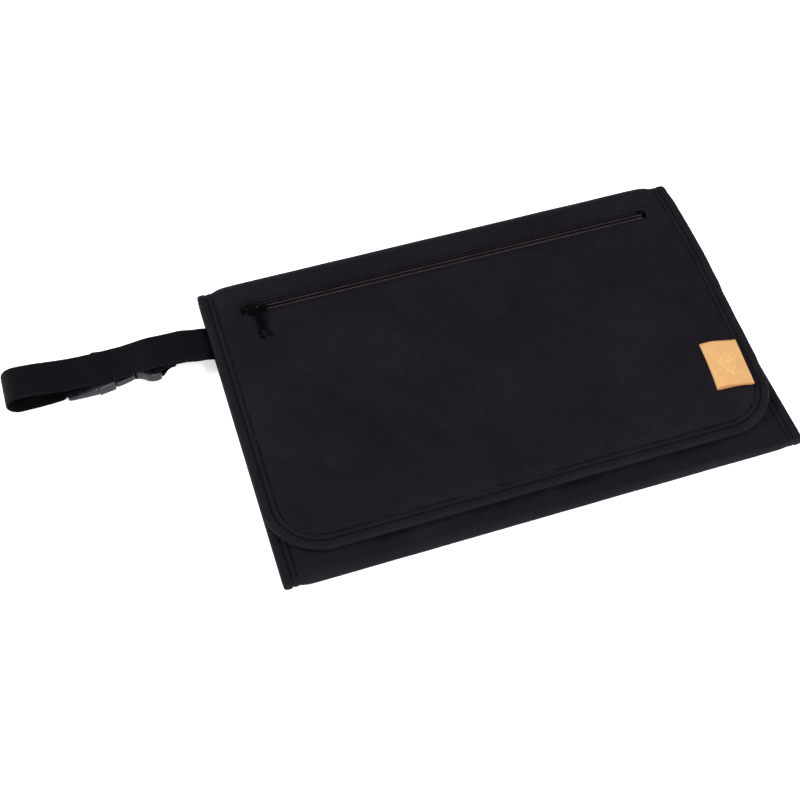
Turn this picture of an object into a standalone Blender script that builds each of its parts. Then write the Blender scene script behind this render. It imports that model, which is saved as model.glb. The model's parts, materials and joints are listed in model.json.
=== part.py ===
"""Folding fabric changing pouch with a wrist strap.

A padded mat is folded in three: a back panel, a short lower panel folded up over it from the
bottom edge, and a long flap folded down from the top edge. The flap's face has a zip pocket and a
leather tab. A webbing strap with a side-release buckle leaves the left edge.

Frame: metres, +Z up. The pouch lies on its back on z = 0, with the origin under the middle of the
back panel, +X along the long side (the strap leaves at -X) and +Y towards the top fold.
"""
import math

import bmesh
import bpy
from mathutils import Matrix, Vector

# ---------------------------------------------------------------- driving dimensions
BAG_W = 0.333               # finished width of the folded pouch
BAG_H = 0.225               # finished height, fold to fold
CLOTH_T = 0.0006            # outer cloth, lining and binding tape
GAP = 0.0003                # play between neighbouring pieces
FOAM_T = 0.0020             # padding of the back and lower panels
FLAP_FOAM_T = 0.0015        # thinner padding behind the zip pocket
POCKET_T = 0.0005           # zip pocket bag, pressed flat
LOWER_LIFT = 0.0004         # play between the back and lower panels
FLAP_Z = 0.0102             # underside of the closed flap
LOWER_LEN = 0.100           # free length of the lower panel
FLAP_LEN = 0.206            # free length of the flap
FLAP_CORNER_R = 0.036       # rounded flap corners
LOWER_CORNER_R = 0.010
BINDING_LEG = 0.008         # visible width of the edge binding
STEP_IN = 0.0090            # where the pinched rim ends
STEP_OUT = 0.0120           # where the full panel thickness starts
FOAM_IN = 0.0130            # foam stops short of the stitched edge

ZIP_Y = 0.0860              # centre line of the zip
ZIP_X0, ZIP_X1 = -0.1420, 0.1455        # ends of the window cut in the flap cloth
ZIP_WINDOW_HALF = 0.0030
ZIP_TAPE_HALF = 0.0090      # each tape reaches this far from the centre line
ZIP_TAPE_T = 0.0005
COIL_IN, COIL_OUT = 0.0005, 0.0024      # each coil half, measured from the centre line
COIL_H = 0.0013
ZIP_STOP_LEN = 0.0018
SLIDER_X = -0.1317          # middle of the slider with the zip closed
SLIDER_LEN = 0.0130
SLIDER_HALF_W = 0.0041
SLIDER_WING_T = 0.0007
BRIDGE_BAR_Z = 0.0174       # axis of the bar that the puller hangs on
PULLER_LEN = 0.0262
PULLER_RING_R = 0.0045
PULLER_RING_IN_R = 0.0024
PULLER_EYE_R = 0.00175
PULLER_HOLE_R = 0.0009

LABEL_X0, LABEL_X1 = 0.1305, 0.1565
LABEL_Y0, LABEL_Y1 = -0.0665, -0.0310
LABEL_T = 0.0008
LABEL_FOLD_R = 0.0010

PATCH_HALF_W = 0.040        # hook and loop patches between the flap and the lower panel
PATCH_Y0, PATCH_Y1 = -0.088, -0.063
PATCH_T = 0.0005

STRAP_W = 0.025             # one-inch webbing
STRAP_T = 0.0014
STRAP_Y = 0.0733            # middle of the strap
STRAP_HINGE_X = -0.1715     # where the strap bends at the pouch's edge
STRAP_HINGE_Z = 0.0077
ANCHOR_X0, ANCHOR_X1 = -0.1706, -0.1595  # the strap's two ends, sewn to the back panel
ANCHOR_RISE = 0.0021        # how far they climb towards the hinge line
STRAP_TURN_X = -0.2925      # centre of the strap's end loop
STRAP_LOOP_Z = 0.0150       # middle of the upper run where it turns over
STRAP_OVER_BUCKLE_Z = 0.0103
STRAP_BUMP_Z = 0.0124       # the upper run rides over the wrapped bar of the buckle
BUCKLE_W = 0.0306
BUCKLE_T = 0.0086
BUCKLE_Z = 0.0002           # the buckle lies just above the table
BUCKLE_WALL = 0.0016
MALE_X0, MALE_X1 = -0.2625, -0.2432     # base block of the male half
FEMALE_X0, FEMALE_X1 = -0.2426, -0.2015
MOUTH_END_X = -0.2316       # the sleeve's closed mouth ends here
WAIST_END_X = -0.2175       # and its open waist ends here
WAIST_HALF = 0.0098
MOUTH_IN_HALF = (0.0137, 0.0121)        # inner half-width at the mouth and at its end
SLOT_HALF = 0.0129          # half the length of each webbing slot
BAR_LEN = 0.0042            # bar that the short end wraps round
BAR_Z0, BAR_Z1 = 0.0021, 0.0064
PRONG_ROOT_X = MALE_X1 + 0.0012          # where each release arm bends
PRONG_AXIS_Y = 0.0120
PRONG_ARM = 0.0026
TONGUE_HALF = 0.0030

# ---------------------------------------------------------------- sizes worked out from them
HALF_W = BAG_W / 2
PANEL_T = 2 * CLOTH_T + 2 * GAP + FOAM_T
FLAP_T = 2 * CLOTH_T + POCKET_T + 3 * GAP + FLAP_FOAM_T
RIM_T = 4 * CLOTH_T + 3 * GAP            # binding, cloth, lining, binding at a bound edge
LOWER_Z = PANEL_T + LOWER_LIFT
FLAP_TOP = FLAP_Z + FLAP_T
TOP_R = FLAP_TOP / 2                     # outer radius of the top fold
BOTTOM_R = (LOWER_Z + PANEL_T) / 2       # outer radius of the bottom fold
TOP_FOLD_Y = BAG_H / 2 - TOP_R           # hinge line of the flap
BOTTOM_FOLD_Y = -BAG_H / 2 + BOTTOM_R    # hinge line of the lower panel
CLOTH_IN = CLOTH_T + GAP                 # the cloth's edge inside the binding
CORNER_STEPS = 7

# ---------------------------------------------------------------- materials
FABRIC = ("fabric", (0.013, 0.011, 0.017), 0.85, 0.0)
LINING = ("lining", (0.030, 0.029, 0.035), 0.60, 0.0)
FOAM = ("foam", (0.35, 0.35, 0.34), 0.95, 0.0)
BINDING = ("binding", (0.011, 0.010, 0.014), 0.80, 0.0)
ZIP_TAPE = ("zip_tape", (0.008, 0.008, 0.010), 0.80, 0.0)
ZIP_COIL = ("zip_coil", (0.060, 0.045, 0.050), 0.35, 0.0)
SLIDER_METAL = ("slider_metal", (0.020, 0.020, 0.022), 0.28, 0.8)
LEATHER = ("leather", (0.66, 0.36, 0.14), 0.55, 0.0)
WEBBING = ("webbing", (0.014, 0.013, 0.018), 0.70, 0.0)
BUCKLE_PLASTIC = ("buckle_plastic", (0.022, 0.023, 0.030), 0.38, 0.0)
HOOK_LOOP = ("hook_loop", (0.012, 0.012, 0.014), 0.95, 0.0)


def clear_scene():
    for obj in list(bpy.data.objects):
        bpy.data.objects.remove(obj, do_unlink=True)


def material(spec):
    name, colour, roughness, metallic = spec
    mat = bpy.data.materials.get(name)
    if mat is None:
        mat = bpy.data.materials.new(name)
        mat.use_nodes = True
        shader = mat.node_tree.nodes["Principled BSDF"]
        shader.inputs["Base Color"].default_value = (*colour, 1.0)
        shader.inputs["Roughness"].default_value = roughness
        shader.inputs["Metallic"].default_value = metallic
    return mat


def new_object(name, mesh, spec=None, parent=None, smooth_deg=None):
    """Link a mesh as a named node, in the frame of its parent empty."""
    obj = bpy.data.objects.new(name, mesh)
    bpy.context.scene.collection.objects.link(obj)
    if spec is not None:
        mesh.materials.append(material(spec))
    if parent is not None:
        mesh.transform(Matrix.Translation(-parent.location))
        obj.parent = parent
    if smooth_deg is not None:
        mesh.shade_smooth()
        mesh.set_sharp_from_angle(angle=math.radians(smooth_deg))
    return obj


def joint_empty(name, location, parent=None):
    """An empty on a joint's axis, which carries the moving pieces."""
    empty = bpy.data.objects.new(name, None)
    bpy.context.scene.collection.objects.link(empty)
    empty.location = location
    empty.hide_render = True
    if parent is not None:
        empty.parent = parent
        empty.matrix_parent_inverse = Matrix.Translation(-parent.location)
    return empty


def mesh_from(name, verts, faces):
    mesh = bpy.data.meshes.new(name)
    mesh.from_pydata(verts, [], faces)
    bm = bmesh.new()
    bm.from_mesh(mesh)
    bmesh.ops.recalc_face_normals(bm, faces=bm.faces)
    bm.to_mesh(mesh)
    bm.free()
    return mesh


def skin_loops(name, loops):
    """Skin a row of equal closed sections into one solid with flat end caps."""
    count = len(loops[0])
    verts = [point for loop in loops for point in loop]
    faces = []
    for i in range(len(loops) - 1):
        for j in range(count):
            k = (j + 1) % count
            a, b = i * count, (i + 1) * count
            faces.append((a + j, a + k, b + k, b + j))
    faces.append(tuple(range(count)))
    faces.append(tuple(range((len(loops) - 1) * count, len(loops) * count)))
    return mesh_from(name, verts, faces)


def box_mesh(name, low, high):
    """A plain box between two corners."""
    (x0, y0, z0), (x1, y1, z1) = low, high
    loops = [[(x, y0, z0), (x, y1, z0), (x, y1, z1), (x, y0, z1)] for x in (x0, x1)]
    return skin_loops(name, loops)


def extrude_xz(name, profile, y0, y1):
    """Extrude a section given in X and Z along Y."""
    return skin_loops(name, [[(x, y, z) for x, z in profile] for y in (y0, y1)])


def extrude_yz(name, profile, x0, x1):
    """Extrude a section given in Y and Z along X."""
    return skin_loops(name, [[(x, y, z) for y, z in profile] for x in (x0, x1)])


def extrude_xy(name, outline, z0, z1):
    """Extrude an outline given in X and Y along Z."""
    return skin_loops(name, [[(x, y, z) for x, y in outline] for z in (z0, z1)])


def cut(obj, cutters):
    """Cut each helper mesh out of an object."""
    for index, mesh in enumerate(cutters):
        helper = new_object(f"{obj.name}_cutter_{index}", mesh, parent=obj.parent)
        helper.hide_render = True
        helper.display_type = "WIRE"
        mod = obj.modifiers.new(f"cut_{index}", "BOOLEAN")
        mod.operation = "DIFFERENCE"
        mod.object = helper


def add(obj, pieces):
    """Join each helper mesh to an object as one body."""
    for index, mesh in enumerate(pieces):
        helper = new_object(f"{obj.name}_part_{index}", mesh, parent=obj.parent)
        helper.hide_render = True
        helper.display_type = "WIRE"
        mod = obj.modifiers.new(f"add_{index}", "BOOLEAN")
        mod.operation = "UNION"
        mod.object = helper


# ---------------------------------------------------------------- sections of a padded panel
def rim_bottom(z0, thickness):
    """Underside of the pinched rim, centred in the panel's thickness."""
    return z0 + (thickness - RIM_T) / 2


def pan_levels(z_mid, z_rim):
    """Inset and height pairs of a cloth that steps from its rim to its middle."""
    return [(CLOTH_IN, z_rim), (STEP_IN, z_rim), (STEP_OUT, z_mid)]


def binding_section(z0, thickness):
    """U-shaped section of the binding tape, as inset and height pairs."""
    low = rim_bottom(z0, thickness)
    high = low + RIM_T
    return [
        (0.0, low), (BINDING_LEG, low), (BINDING_LEG, low + CLOTH_T), (CLOTH_T, low + CLOTH_T),
        (CLOTH_T, high - CLOTH_T), (BINDING_LEG, high - CLOTH_T), (BINDING_LEG, high), (0.0, high),
    ]


def panel_path(inset, y_fold, direction, length, corner_r):
    """Left, free and right sides of a panel that hangs from a fold line at y_fold.

    direction is -1 for a panel that reaches towards -Y and +1 for one that reaches towards +Y.
    """
    radius = corner_r - inset
    x_mid = HALF_W - corner_r
    y_mid = y_fold + direction * (length - corner_r)
    side_x = HALF_W - inset
    points = [(-side_x, y_fold)]
    if radius <= 0.0002:
        # A corner tighter than its inset is square.
        y_end = y_fold + direction * (length - inset)
        corner = [(-side_x, y_end)] * (CORNER_STEPS + 1)
        points += corner + [(-x, y) for x, y in corner]
    else:
        for sign in (-1, 1):
            arc = []
            for i in range(CORNER_STEPS + 1):
                angle = math.radians(90.0 * i / CORNER_STEPS)
                arc.append((sign * (x_mid + radius * math.cos(angle)),
                            y_mid + direction * radius * math.sin(angle)))
            points += arc if sign < 0 else arc[::-1]
    points.append((side_x, y_fold))
    return points


def pan_solid(name, path, bottom, top):
    """Closed solid between two surfaces that step down a row of insets towards the middle."""
    loops = [[(x, y, z) for x, y in path(inset)] for inset, z in bottom]
    loops += [[(x, y, z) for x, y in path(inset)] for inset, z in reversed(top)]
    count = len(loops[0])
    rows = len(loops)
    half = rows // 2
    verts = [point for loop in loops for point in loop]
    faces = []
    for i in range(rows):
        if i == half - 1:
            continue
        a, b = i * count, ((i + 1) % rows) * count
        for j in range(count - 1):
            faces.append((a + j, a + j + 1, b + j + 1, b + j))
    inner_bottom, inner_top = (half - 1) * count, half * count
    faces.append(tuple(range(inner_bottom, inner_bottom + count)))
    faces.append(tuple(range(inner_top, inner_top + count)))
    left = [i * count for i in range(rows)]
    right = [i * count + count - 1 for i in range(rows)]
    faces.append(tuple(left[:half] + right[:half][::-1] + right[half:][::-1] + left[half:]))
    return mesh_from(name, verts, faces)


def shift(levels, dz):
    return [(inset, z + dz) for inset, z in levels]


def hanging_panel(prefix, z0, thickness, foam_z, foam_t, y_fold, direction, length, corner_r,
                  parent):
    """Outer cloth, lining, foam and binding of the flap or the lower panel."""
    def path(inset):
        return panel_path(inset, y_fold, direction, length, corner_r)

    low = rim_bottom(z0, thickness)
    under = pan_levels(z0, low + CLOTH_IN)
    over = pan_levels(z0 + thickness - CLOTH_T, low + CLOTH_IN + CLOTH_T + GAP)
    cloths = (("shell", FABRIC, over), ("lining", LINING, under))
    made = {}
    for part, spec, levels in cloths:
        mesh = pan_solid(f"{prefix}_{part}", path, levels, shift(levels, CLOTH_T))
        made[part] = new_object(f"{prefix}_{part}", mesh, spec, parent)
    foam = [(FOAM_IN, foam_z)]
    mesh = pan_solid(f"{prefix}_foam", path, foam, shift(foam, foam_t))
    made["foam"] = new_object(f"{prefix}_foam", mesh, FOAM, parent)
    section = binding_section(z0, thickness)
    rows = [path(inset) for inset, _ in section]
    loops = [[(row[j][0], row[j][1], z) for row, (_, z) in zip(rows, section)]
             for j in range(len(rows[0]))]
    mesh = skin_loops(f"{prefix}_binding", loops)
    made["binding"] = new_object(f"{prefix}_binding", mesh, BINDING, parent)
    return made


# ---------------------------------------------------------------- back panel
def mirrored_section(half):
    """Whole section in X and Z from its right-hand half, bottom points then top points."""
    bottom, top = half
    right = [(HALF_W - inset, z) for inset, z in reversed(bottom)]
    left = [(-HALF_W + inset, z) for inset, z in bottom]
    over_left = [(-HALF_W + inset, z) for inset, z in top]
    over_right = [(HALF_W - inset, z) for inset, z in reversed(top)]
    return left + right + over_right[::-1] + over_left[::-1]


def back_panel():
    low = rim_bottom(0.0, PANEL_T)
    layers = (
        ("back_shell", FABRIC, pan_levels(0.0, low + CLOTH_IN), CLOTH_T),
        ("back_lining", LINING,
         pan_levels(PANEL_T - CLOTH_T, low + CLOTH_IN + CLOTH_T + GAP), CLOTH_T),
        ("back_foam", FOAM, [(FOAM_IN, CLOTH_T + GAP)], FOAM_T),
    )
    for name, spec, levels, thickness in layers:
        profile = mirrored_section((levels, shift(levels, thickness)))
        new_object(name, extrude_xz(name, profile, BOTTOM_FOLD_Y, TOP_FOLD_Y), spec)
    for side, sign in (("left", -1), ("right", 1)):
        profile = [(sign * (HALF_W - inset), z) for inset, z in binding_section(0.0, PANEL_T)]
        name = f"back_binding_{side}"
        new_object(name, extrude_xz(name, profile, BOTTOM_FOLD_Y, TOP_FOLD_Y), BINDING)


# ---------------------------------------------------------------- folds
def half_turn(name, profile, y_axis, z_axis, sign, steps):
    """Turn an X and radius section half way round a fold line, from below it to above it."""
    loops = []
    for i in range(steps + 1):
        angle = math.pi * i / steps
        loops.append([(x, y_axis + sign * r * math.sin(angle), z_axis - r * math.cos(angle))
                      for x, r in profile])
    return skin_loops(name, loops)


def fold_cloth(prefix, y_axis, radius, z_axis, sign, steps, y_gap):
    """Outer cloth round a fold and the bindings at its two ends."""
    y_start = y_axis + sign * y_gap
    rim_r = radius - (PANEL_T - RIM_T) / 2
    cloth_rim = rim_r - CLOTH_IN
    steps_out = [(CLOTH_IN, cloth_rim), (STEP_IN, cloth_rim), (STEP_OUT, radius)]
    outer = [(-HALF_W + inset, r) for inset, r in steps_out]
    outer += [(HALF_W - inset, r) for inset, r in reversed(steps_out)]
    inner = [(x, r - CLOTH_T) for x, r in reversed(outer)]
    mesh = half_turn(f"{prefix}_cloth", outer + inner, y_start, z_axis, sign, steps)
    new_object(f"{prefix}_cloth", mesh, FABRIC, smooth_deg=40)
    inner_leg = cloth_rim - CLOTH_T - GAP
    section = [
        (0.0, rim_r), (BINDING_LEG, rim_r), (BINDING_LEG, rim_r - CLOTH_T),
        (CLOTH_T, rim_r - CLOTH_T), (CLOTH_T, inner_leg), (BINDING_LEG, inner_leg),
        (BINDING_LEG, inner_leg - CLOTH_T), (0.0, inner_leg - CLOTH_T),
    ]
    for side, side_sign in (("left", -1), ("right", 1)):
        profile = [(side_sign * (HALF_W - inset), r) for inset, r in section]
        name = f"{prefix}_binding_{side}"
        mesh = half_turn(name, profile, y_start, z_axis, sign, steps)
        new_object(name, mesh, BINDING, smooth_deg=40)


# ---------------------------------------------------------------- zip pocket in the flap
def zip_pocket(flap):
    """Tapes, coil halves, end stops and the pressed-flat pocket bag."""
    tape_z = FLAP_TOP - CLOTH_T - GAP - ZIP_TAPE_T
    coil_x0 = ZIP_X0 + ZIP_STOP_LEN + 0.0006
    coil_x1 = ZIP_X1 - ZIP_STOP_LEN - 0.0006
    for side, sign in (("lower", -1), ("upper", 1)):
        near, far = ZIP_Y + sign * (COIL_OUT + GAP), ZIP_Y + sign * ZIP_TAPE_HALF
        mesh = box_mesh(f"zip_tape_{side}", (ZIP_X0 - 0.002, min(near, far), tape_z),
                        (ZIP_X1 + 0.002, max(near, far), tape_z + ZIP_TAPE_T))
        new_object(f"zip_tape_{side}", mesh, ZIP_TAPE, flap)
        near, far = ZIP_Y + sign * COIL_IN, ZIP_Y + sign * COIL_OUT
        mesh = box_mesh(f"zip_coil_{side}", (coil_x0, min(near, far), tape_z),
                        (coil_x1, max(near, far), tape_z + COIL_H))
        new_object(f"zip_coil_{side}", mesh, ZIP_COIL, flap)
    for name, x0 in (("zip_stop_left", ZIP_X0 + 0.0003), ("zip_stop_right", coil_x1 + GAP)):
        mesh = box_mesh(name, (x0, ZIP_Y - COIL_OUT, tape_z),
                        (x0 + ZIP_STOP_LEN, ZIP_Y + COIL_OUT, tape_z + COIL_H + 0.0003))
        new_object(name, mesh, ZIP_COIL, flap)
    bag_low = (ZIP_X0, TOP_FOLD_Y - FLAP_LEN + 0.022, FLAP_Z + CLOTH_T + 2 * GAP + FLAP_FOAM_T)
    bag_high = (ZIP_X1, ZIP_Y - ZIP_TAPE_HALF - GAP, bag_low[2] + POCKET_T)
    new_object("zip_pocket_bag", box_mesh("zip_pocket_bag", bag_low, bag_high), LINING, flap)
    return tape_z


def zip_slider(slide, tape_z):
    """Two wings joined by a neck that runs between the coil halves, with a bridge on top."""
    front, back = SLIDER_X - SLIDER_LEN / 2, SLIDER_X + SLIDER_LEN / 2
    shoulder = SLIDER_X + 0.0005
    tail_half = SLIDER_HALF_W - 0.0012
    nose = 0.0012
    outline = [
        (front, -SLIDER_HALF_W + nose), (front + nose, -SLIDER_HALF_W),
        (shoulder, -SLIDER_HALF_W), (shoulder + 0.0015, -tail_half), (back, -tail_half),
        (back, tail_half), (shoulder + 0.0015, tail_half), (shoulder, SLIDER_HALF_W),
        (front + nose, SLIDER_HALF_W), (front, SLIDER_HALF_W - nose),
    ]
    outline = [(x, y + ZIP_Y) for x, y in outline]
    low_z = tape_z - GAP - SLIDER_WING_T
    top_z = tape_z + COIL_H + GAP
    lower_wing = extrude_xy("zip_slider", outline, low_z, low_z + SLIDER_WING_T)
    body = new_object("zip_slider", lower_wing, SLIDER_METAL, slide)
    neck = box_mesh("slider_neck", (front + 0.0010, ZIP_Y - 0.0002, low_z + 0.0002),
                    (front + 0.0050, ZIP_Y + 0.0002, top_z + 0.0002))
    top = extrude_xy("slider_top", outline, top_z, top_z + SLIDER_WING_T)
    foot_z = top_z + SLIDER_WING_T - 0.0002
    bar = 0.00045
    leg_in, leg_out = 0.0026, 0.0038
    arch = [
        (-leg_out - 0.0004, foot_z), (-leg_out, BRIDGE_BAR_Z), (-leg_in, BRIDGE_BAR_Z + bar),
        (leg_in, BRIDGE_BAR_Z + bar), (leg_out, BRIDGE_BAR_Z), (leg_out + 0.0004, foot_z),
        (leg_in, foot_z), (leg_in, BRIDGE_BAR_Z - bar), (-leg_in, BRIDGE_BAR_Z - bar),
        (-leg_in, foot_z),
    ]
    bridge = extrude_xz("slider_bridge", [(SLIDER_X + x, z) for x, z in arch],
                        ZIP_Y - bar, ZIP_Y + bar)
    add(body, [neck, top, bridge])


def circle(u, v, radius, sides):
    """Outline of a round, for extruding."""
    return [(u + radius * math.cos(2 * math.pi * i / sides),
             v + radius * math.sin(2 * math.pi * i / sides)) for i in range(sides)]


def zip_puller(pivot):
    """An eye round the bridge's bar, a tapered tab and a ring, lying on the flap."""
    eye_half, tab_half, half_t = 0.0011, 0.0021, 0.00065
    eye = extrude_yz("zip_puller", circle(ZIP_Y, BRIDGE_BAR_Z, PULLER_EYE_R, 16),
                     SLIDER_X - eye_half, SLIDER_X + eye_half)
    puller = new_object("zip_puller", eye, SLIDER_METAL, pivot)
    # The tab starts at the eye, steps down past the slider and rests just above the cloth.
    ring_y = ZIP_Y - PULLER_LEN + PULLER_RING_R
    rest_z = FLAP_TOP + 0.0004
    root_y = ZIP_Y - PULLER_EYE_R + 0.0004
    bend_y = ZIP_Y - SLIDER_HALF_W - 0.0010
    ring_top_y = ring_y + PULLER_RING_R
    tab_profile = [
        (root_y, BRIDGE_BAR_Z + half_t), (bend_y, BRIDGE_BAR_Z + half_t),
        (ring_top_y, rest_z + 2 * half_t), (ring_y, rest_z + 2 * half_t), (ring_y, rest_z),
        (ring_top_y, rest_z), (bend_y, BRIDGE_BAR_Z - half_t), (root_y, BRIDGE_BAR_Z - half_t),
    ]
    tab = extrude_yz("puller_tab", tab_profile, SLIDER_X - tab_half, SLIDER_X + tab_half)
    proud = 0.00005
    ring = extrude_xy("puller_ring", circle(SLIDER_X, ring_y, PULLER_RING_R, 28),
                      rest_z - proud, rest_z + 2 * half_t + proud)
    add(puller, [tab, ring])
    reach = 0.003
    eye_hole = extrude_yz("eye_hole", circle(ZIP_Y, BRIDGE_BAR_Z, PULLER_HOLE_R, 16),
                          SLIDER_X - reach, SLIDER_X + reach)
    ring_hole = extrude_xy("ring_hole", circle(SLIDER_X, ring_y, PULLER_RING_IN_R, 28),
                           rest_z - reach, rest_z + reach)
    cut(puller, [eye_hole, ring_hole])


def leather_label(flap):
    """A strip of leather folded in two: a round fold on the left, flat leaves to the right."""
    z0 = FLAP_TOP + GAP
    fold_top = z0 + 2 * LABEL_FOLD_R
    steps = 8
    profile = []
    for i in range(steps + 1):
        angle = math.radians(90 + 180 * i / steps)
        profile.append((LABEL_X0 + LABEL_FOLD_R + LABEL_FOLD_R * math.cos(angle),
                        z0 + LABEL_FOLD_R + LABEL_FOLD_R * math.sin(angle)))
    profile += [(LABEL_X1, z0), (LABEL_X1, z0 + LABEL_T),
                ((LABEL_X0 + LABEL_X1) / 2, z0 + (fold_top - z0 + LABEL_T) / 2)]
    mesh = extrude_xz("leather_label", profile, LABEL_Y0, LABEL_Y1)
    new_object("leather_label", mesh, LEATHER, flap, smooth_deg=40)


def flap_panel(flap):
    made = hanging_panel(
        "flap", FLAP_Z, FLAP_T, foam_z=FLAP_Z + CLOTH_T + GAP, foam_t=FLAP_FOAM_T,
        y_fold=TOP_FOLD_Y, direction=-1, length=FLAP_LEN, corner_r=FLAP_CORNER_R, parent=flap)
    window = box_mesh("zip_window", (ZIP_X0, ZIP_Y - ZIP_WINDOW_HALF, FLAP_TOP - 0.002),
                      (ZIP_X1, ZIP_Y + ZIP_WINDOW_HALF, FLAP_TOP + 0.002))
    cut(made["shell"], [window])
    # The foam ends below the zip, where the slider's lower wing runs.
    clear_y = ZIP_Y - ZIP_TAPE_HALF - 0.004
    notch = box_mesh("foam_notch", (-HALF_W, clear_y, FLAP_Z + CLOTH_T / 2),
                     (HALF_W, TOP_FOLD_Y + 0.01, FLAP_TOP))
    cut(made["foam"], [notch])


def closure_patches(flap, lower):
    """Hook patch on the flap's lining and loop patch on the lower panel's face."""
    for name, parent, z0 in (("closure_loop_patch", lower, LOWER_Z + PANEL_T + GAP),
                             ("closure_hook_patch", flap, FLAP_Z - GAP - PATCH_T)):
        mesh = box_mesh(name, (-PATCH_HALF_W, PATCH_Y0, z0), (PATCH_HALF_W, PATCH_Y1, z0 + PATCH_T))
        new_object(name, mesh, HOOK_LOOP, parent)


# ---------------------------------------------------------------- strap and buckle
def webbing(name, centre_line, parent=None):
    """Webbing of even thickness along a line given in X and Z, extruded over its width."""
    half = STRAP_T / 2
    upper, lower = [], []
    for i, (x, z) in enumerate(centre_line):
        before = Vector(centre_line[max(i - 1, 0)])
        after = Vector(centre_line[min(i + 1, len(centre_line) - 1)])
        along = (after - before).normalized()
        upper.append((x - along.y * half, z + along.x * half))
        lower.append((x + along.y * half, z - along.x * half))
    mesh = extrude_xz(name, upper + lower[::-1], STRAP_Y - STRAP_W / 2, STRAP_Y + STRAP_W / 2)
    return new_object(name, mesh, WEBBING, parent, smooth_deg=40)


def ease(x0, z0, x1, z1, steps):
    """Points of a smooth S-curve between two levels."""
    points = []
    for i in range(steps + 1):
        t = i / steps
        rise = t * t * (3 - 2 * t)
        points.append((x0 + (x1 - x0) * t, z0 + (z1 - z0) * rise))
    return points


def joined(*runs):
    """One line from several, with the shared points kept once."""
    line = list(runs[0])
    for run in runs[1:]:
        line += run[1:]
    return line


def quarter(x, z, radius, start_deg, steps=4):
    """Quarter turn clockwise round a centre in X and Z."""
    points = []
    for i in range(steps + 1):
        angle = math.radians(start_deg + 90.0 * i / steps)
        points.append((x + radius * math.cos(angle), z + radius * math.sin(angle)))
    return points


def strap_anchors():
    """Both ends of the strap, sewn one above the other to the back panel's lining."""
    low = PANEL_T + GAP + STRAP_T / 2
    high = low + STRAP_T + GAP
    flat_x = (ANCHOR_X0 + ANCHOR_X1) / 2
    for name, z in (("strap_anchor_short", low), ("strap_anchor_long", high)):
        line = ease(ANCHOR_X0, z + ANCHOR_RISE, flat_x, z, 4) + [(ANCHOR_X1, z)]
        webbing(name, line)
    return low + ANCHOR_RISE, high + ANCHOR_RISE


def short_end_line(start_x, z):
    """The short end runs to the buckle, wraps round its bar and doubles back below itself."""
    turn_r = 0.0012
    wrap_top = BAR_Z1 + GAP / 2 + STRAP_T / 2
    wrap_low = BAR_Z0 - GAP / 2 - STRAP_T / 2
    down_x = FEMALE_X1 - BAR_LEN - GAP / 2 - STRAP_T / 2
    over = ease(start_x, z, -0.1930, wrap_top, 4) + [(down_x + turn_r, wrap_top)]
    first = quarter(down_x + turn_r, wrap_top - turn_r, turn_r, 90)
    second = quarter(down_x + turn_r, wrap_low + turn_r, turn_r, 180)
    tail_z = wrap_top - STRAP_T - 2 * GAP
    back = ease(FEMALE_X1 + GAP, wrap_low, -0.1940, tail_z, 5) + [(-0.1860, tail_z)]
    return joined(over, first) + second + back


def strap(hold, release):
    short_z, long_z = strap_anchors()
    start_x = STRAP_HINGE_X - 0.0025
    low_z = STRAP_T / 2 + 0.0001
    crest_x = (FEMALE_X1 + WAIST_END_X) / 2
    upper = joined(
        ease(start_x, long_z, -0.1835, 0.0112, 3), ease(-0.1835, 0.0112, -0.1925, 0.0112, 1),
        ease(-0.1925, 0.0112, crest_x + 0.0020, STRAP_BUMP_Z, 3),
        ease(crest_x + 0.0020, STRAP_BUMP_Z, crest_x - 0.0020, STRAP_BUMP_Z, 1),
        ease(crest_x - 0.0020, STRAP_BUMP_Z, -0.2240, STRAP_OVER_BUCKLE_Z, 3),
        ease(-0.2240, STRAP_OVER_BUCKLE_Z, -0.2540, STRAP_OVER_BUCKLE_Z, 1),
        ease(-0.2540, STRAP_OVER_BUCKLE_Z, STRAP_TURN_X, STRAP_LOOP_Z, 6))
    webbing("strap_upper_run", upper, hold)
    webbing("strap_short_webbing", short_end_line(start_x, short_z), hold)
    turn_r = (STRAP_LOOP_Z - low_z) / 2
    turn = []
    for i in range(15):
        angle = math.pi * i / 14
        turn.append((STRAP_TURN_X - GAP - turn_r * math.sin(angle),
                     (STRAP_LOOP_Z + low_z) / 2 + turn_r * math.cos(angle)))
    webbing("strap_end_loop", turn, hold)
    webbing("strap_lower_run", [(STRAP_TURN_X, low_z), (MALE_X0 - GAP, low_z)], release)


def chamfered_section(x, half, z0, z1, nose):
    """Eight-sided section across the strap at one station along it."""
    y = STRAP_Y
    return [(x, y - half, z0 + nose), (x, y - half + nose, z0), (x, y + half - nose, z0),
            (x, y + half, z0 + nose), (x, y + half, z1 - nose), (x, y + half - nose, z1),
            (x, y - half + nose, z1), (x, y - half, z1 - nose)]


def slot_box(x0, x1):
    """Cutter for a slot that webbing passes through."""
    return box_mesh("slot", (x0, STRAP_Y - SLOT_HALF, -0.01), (x1, STRAP_Y + SLOT_HALF, 0.02))


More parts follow.
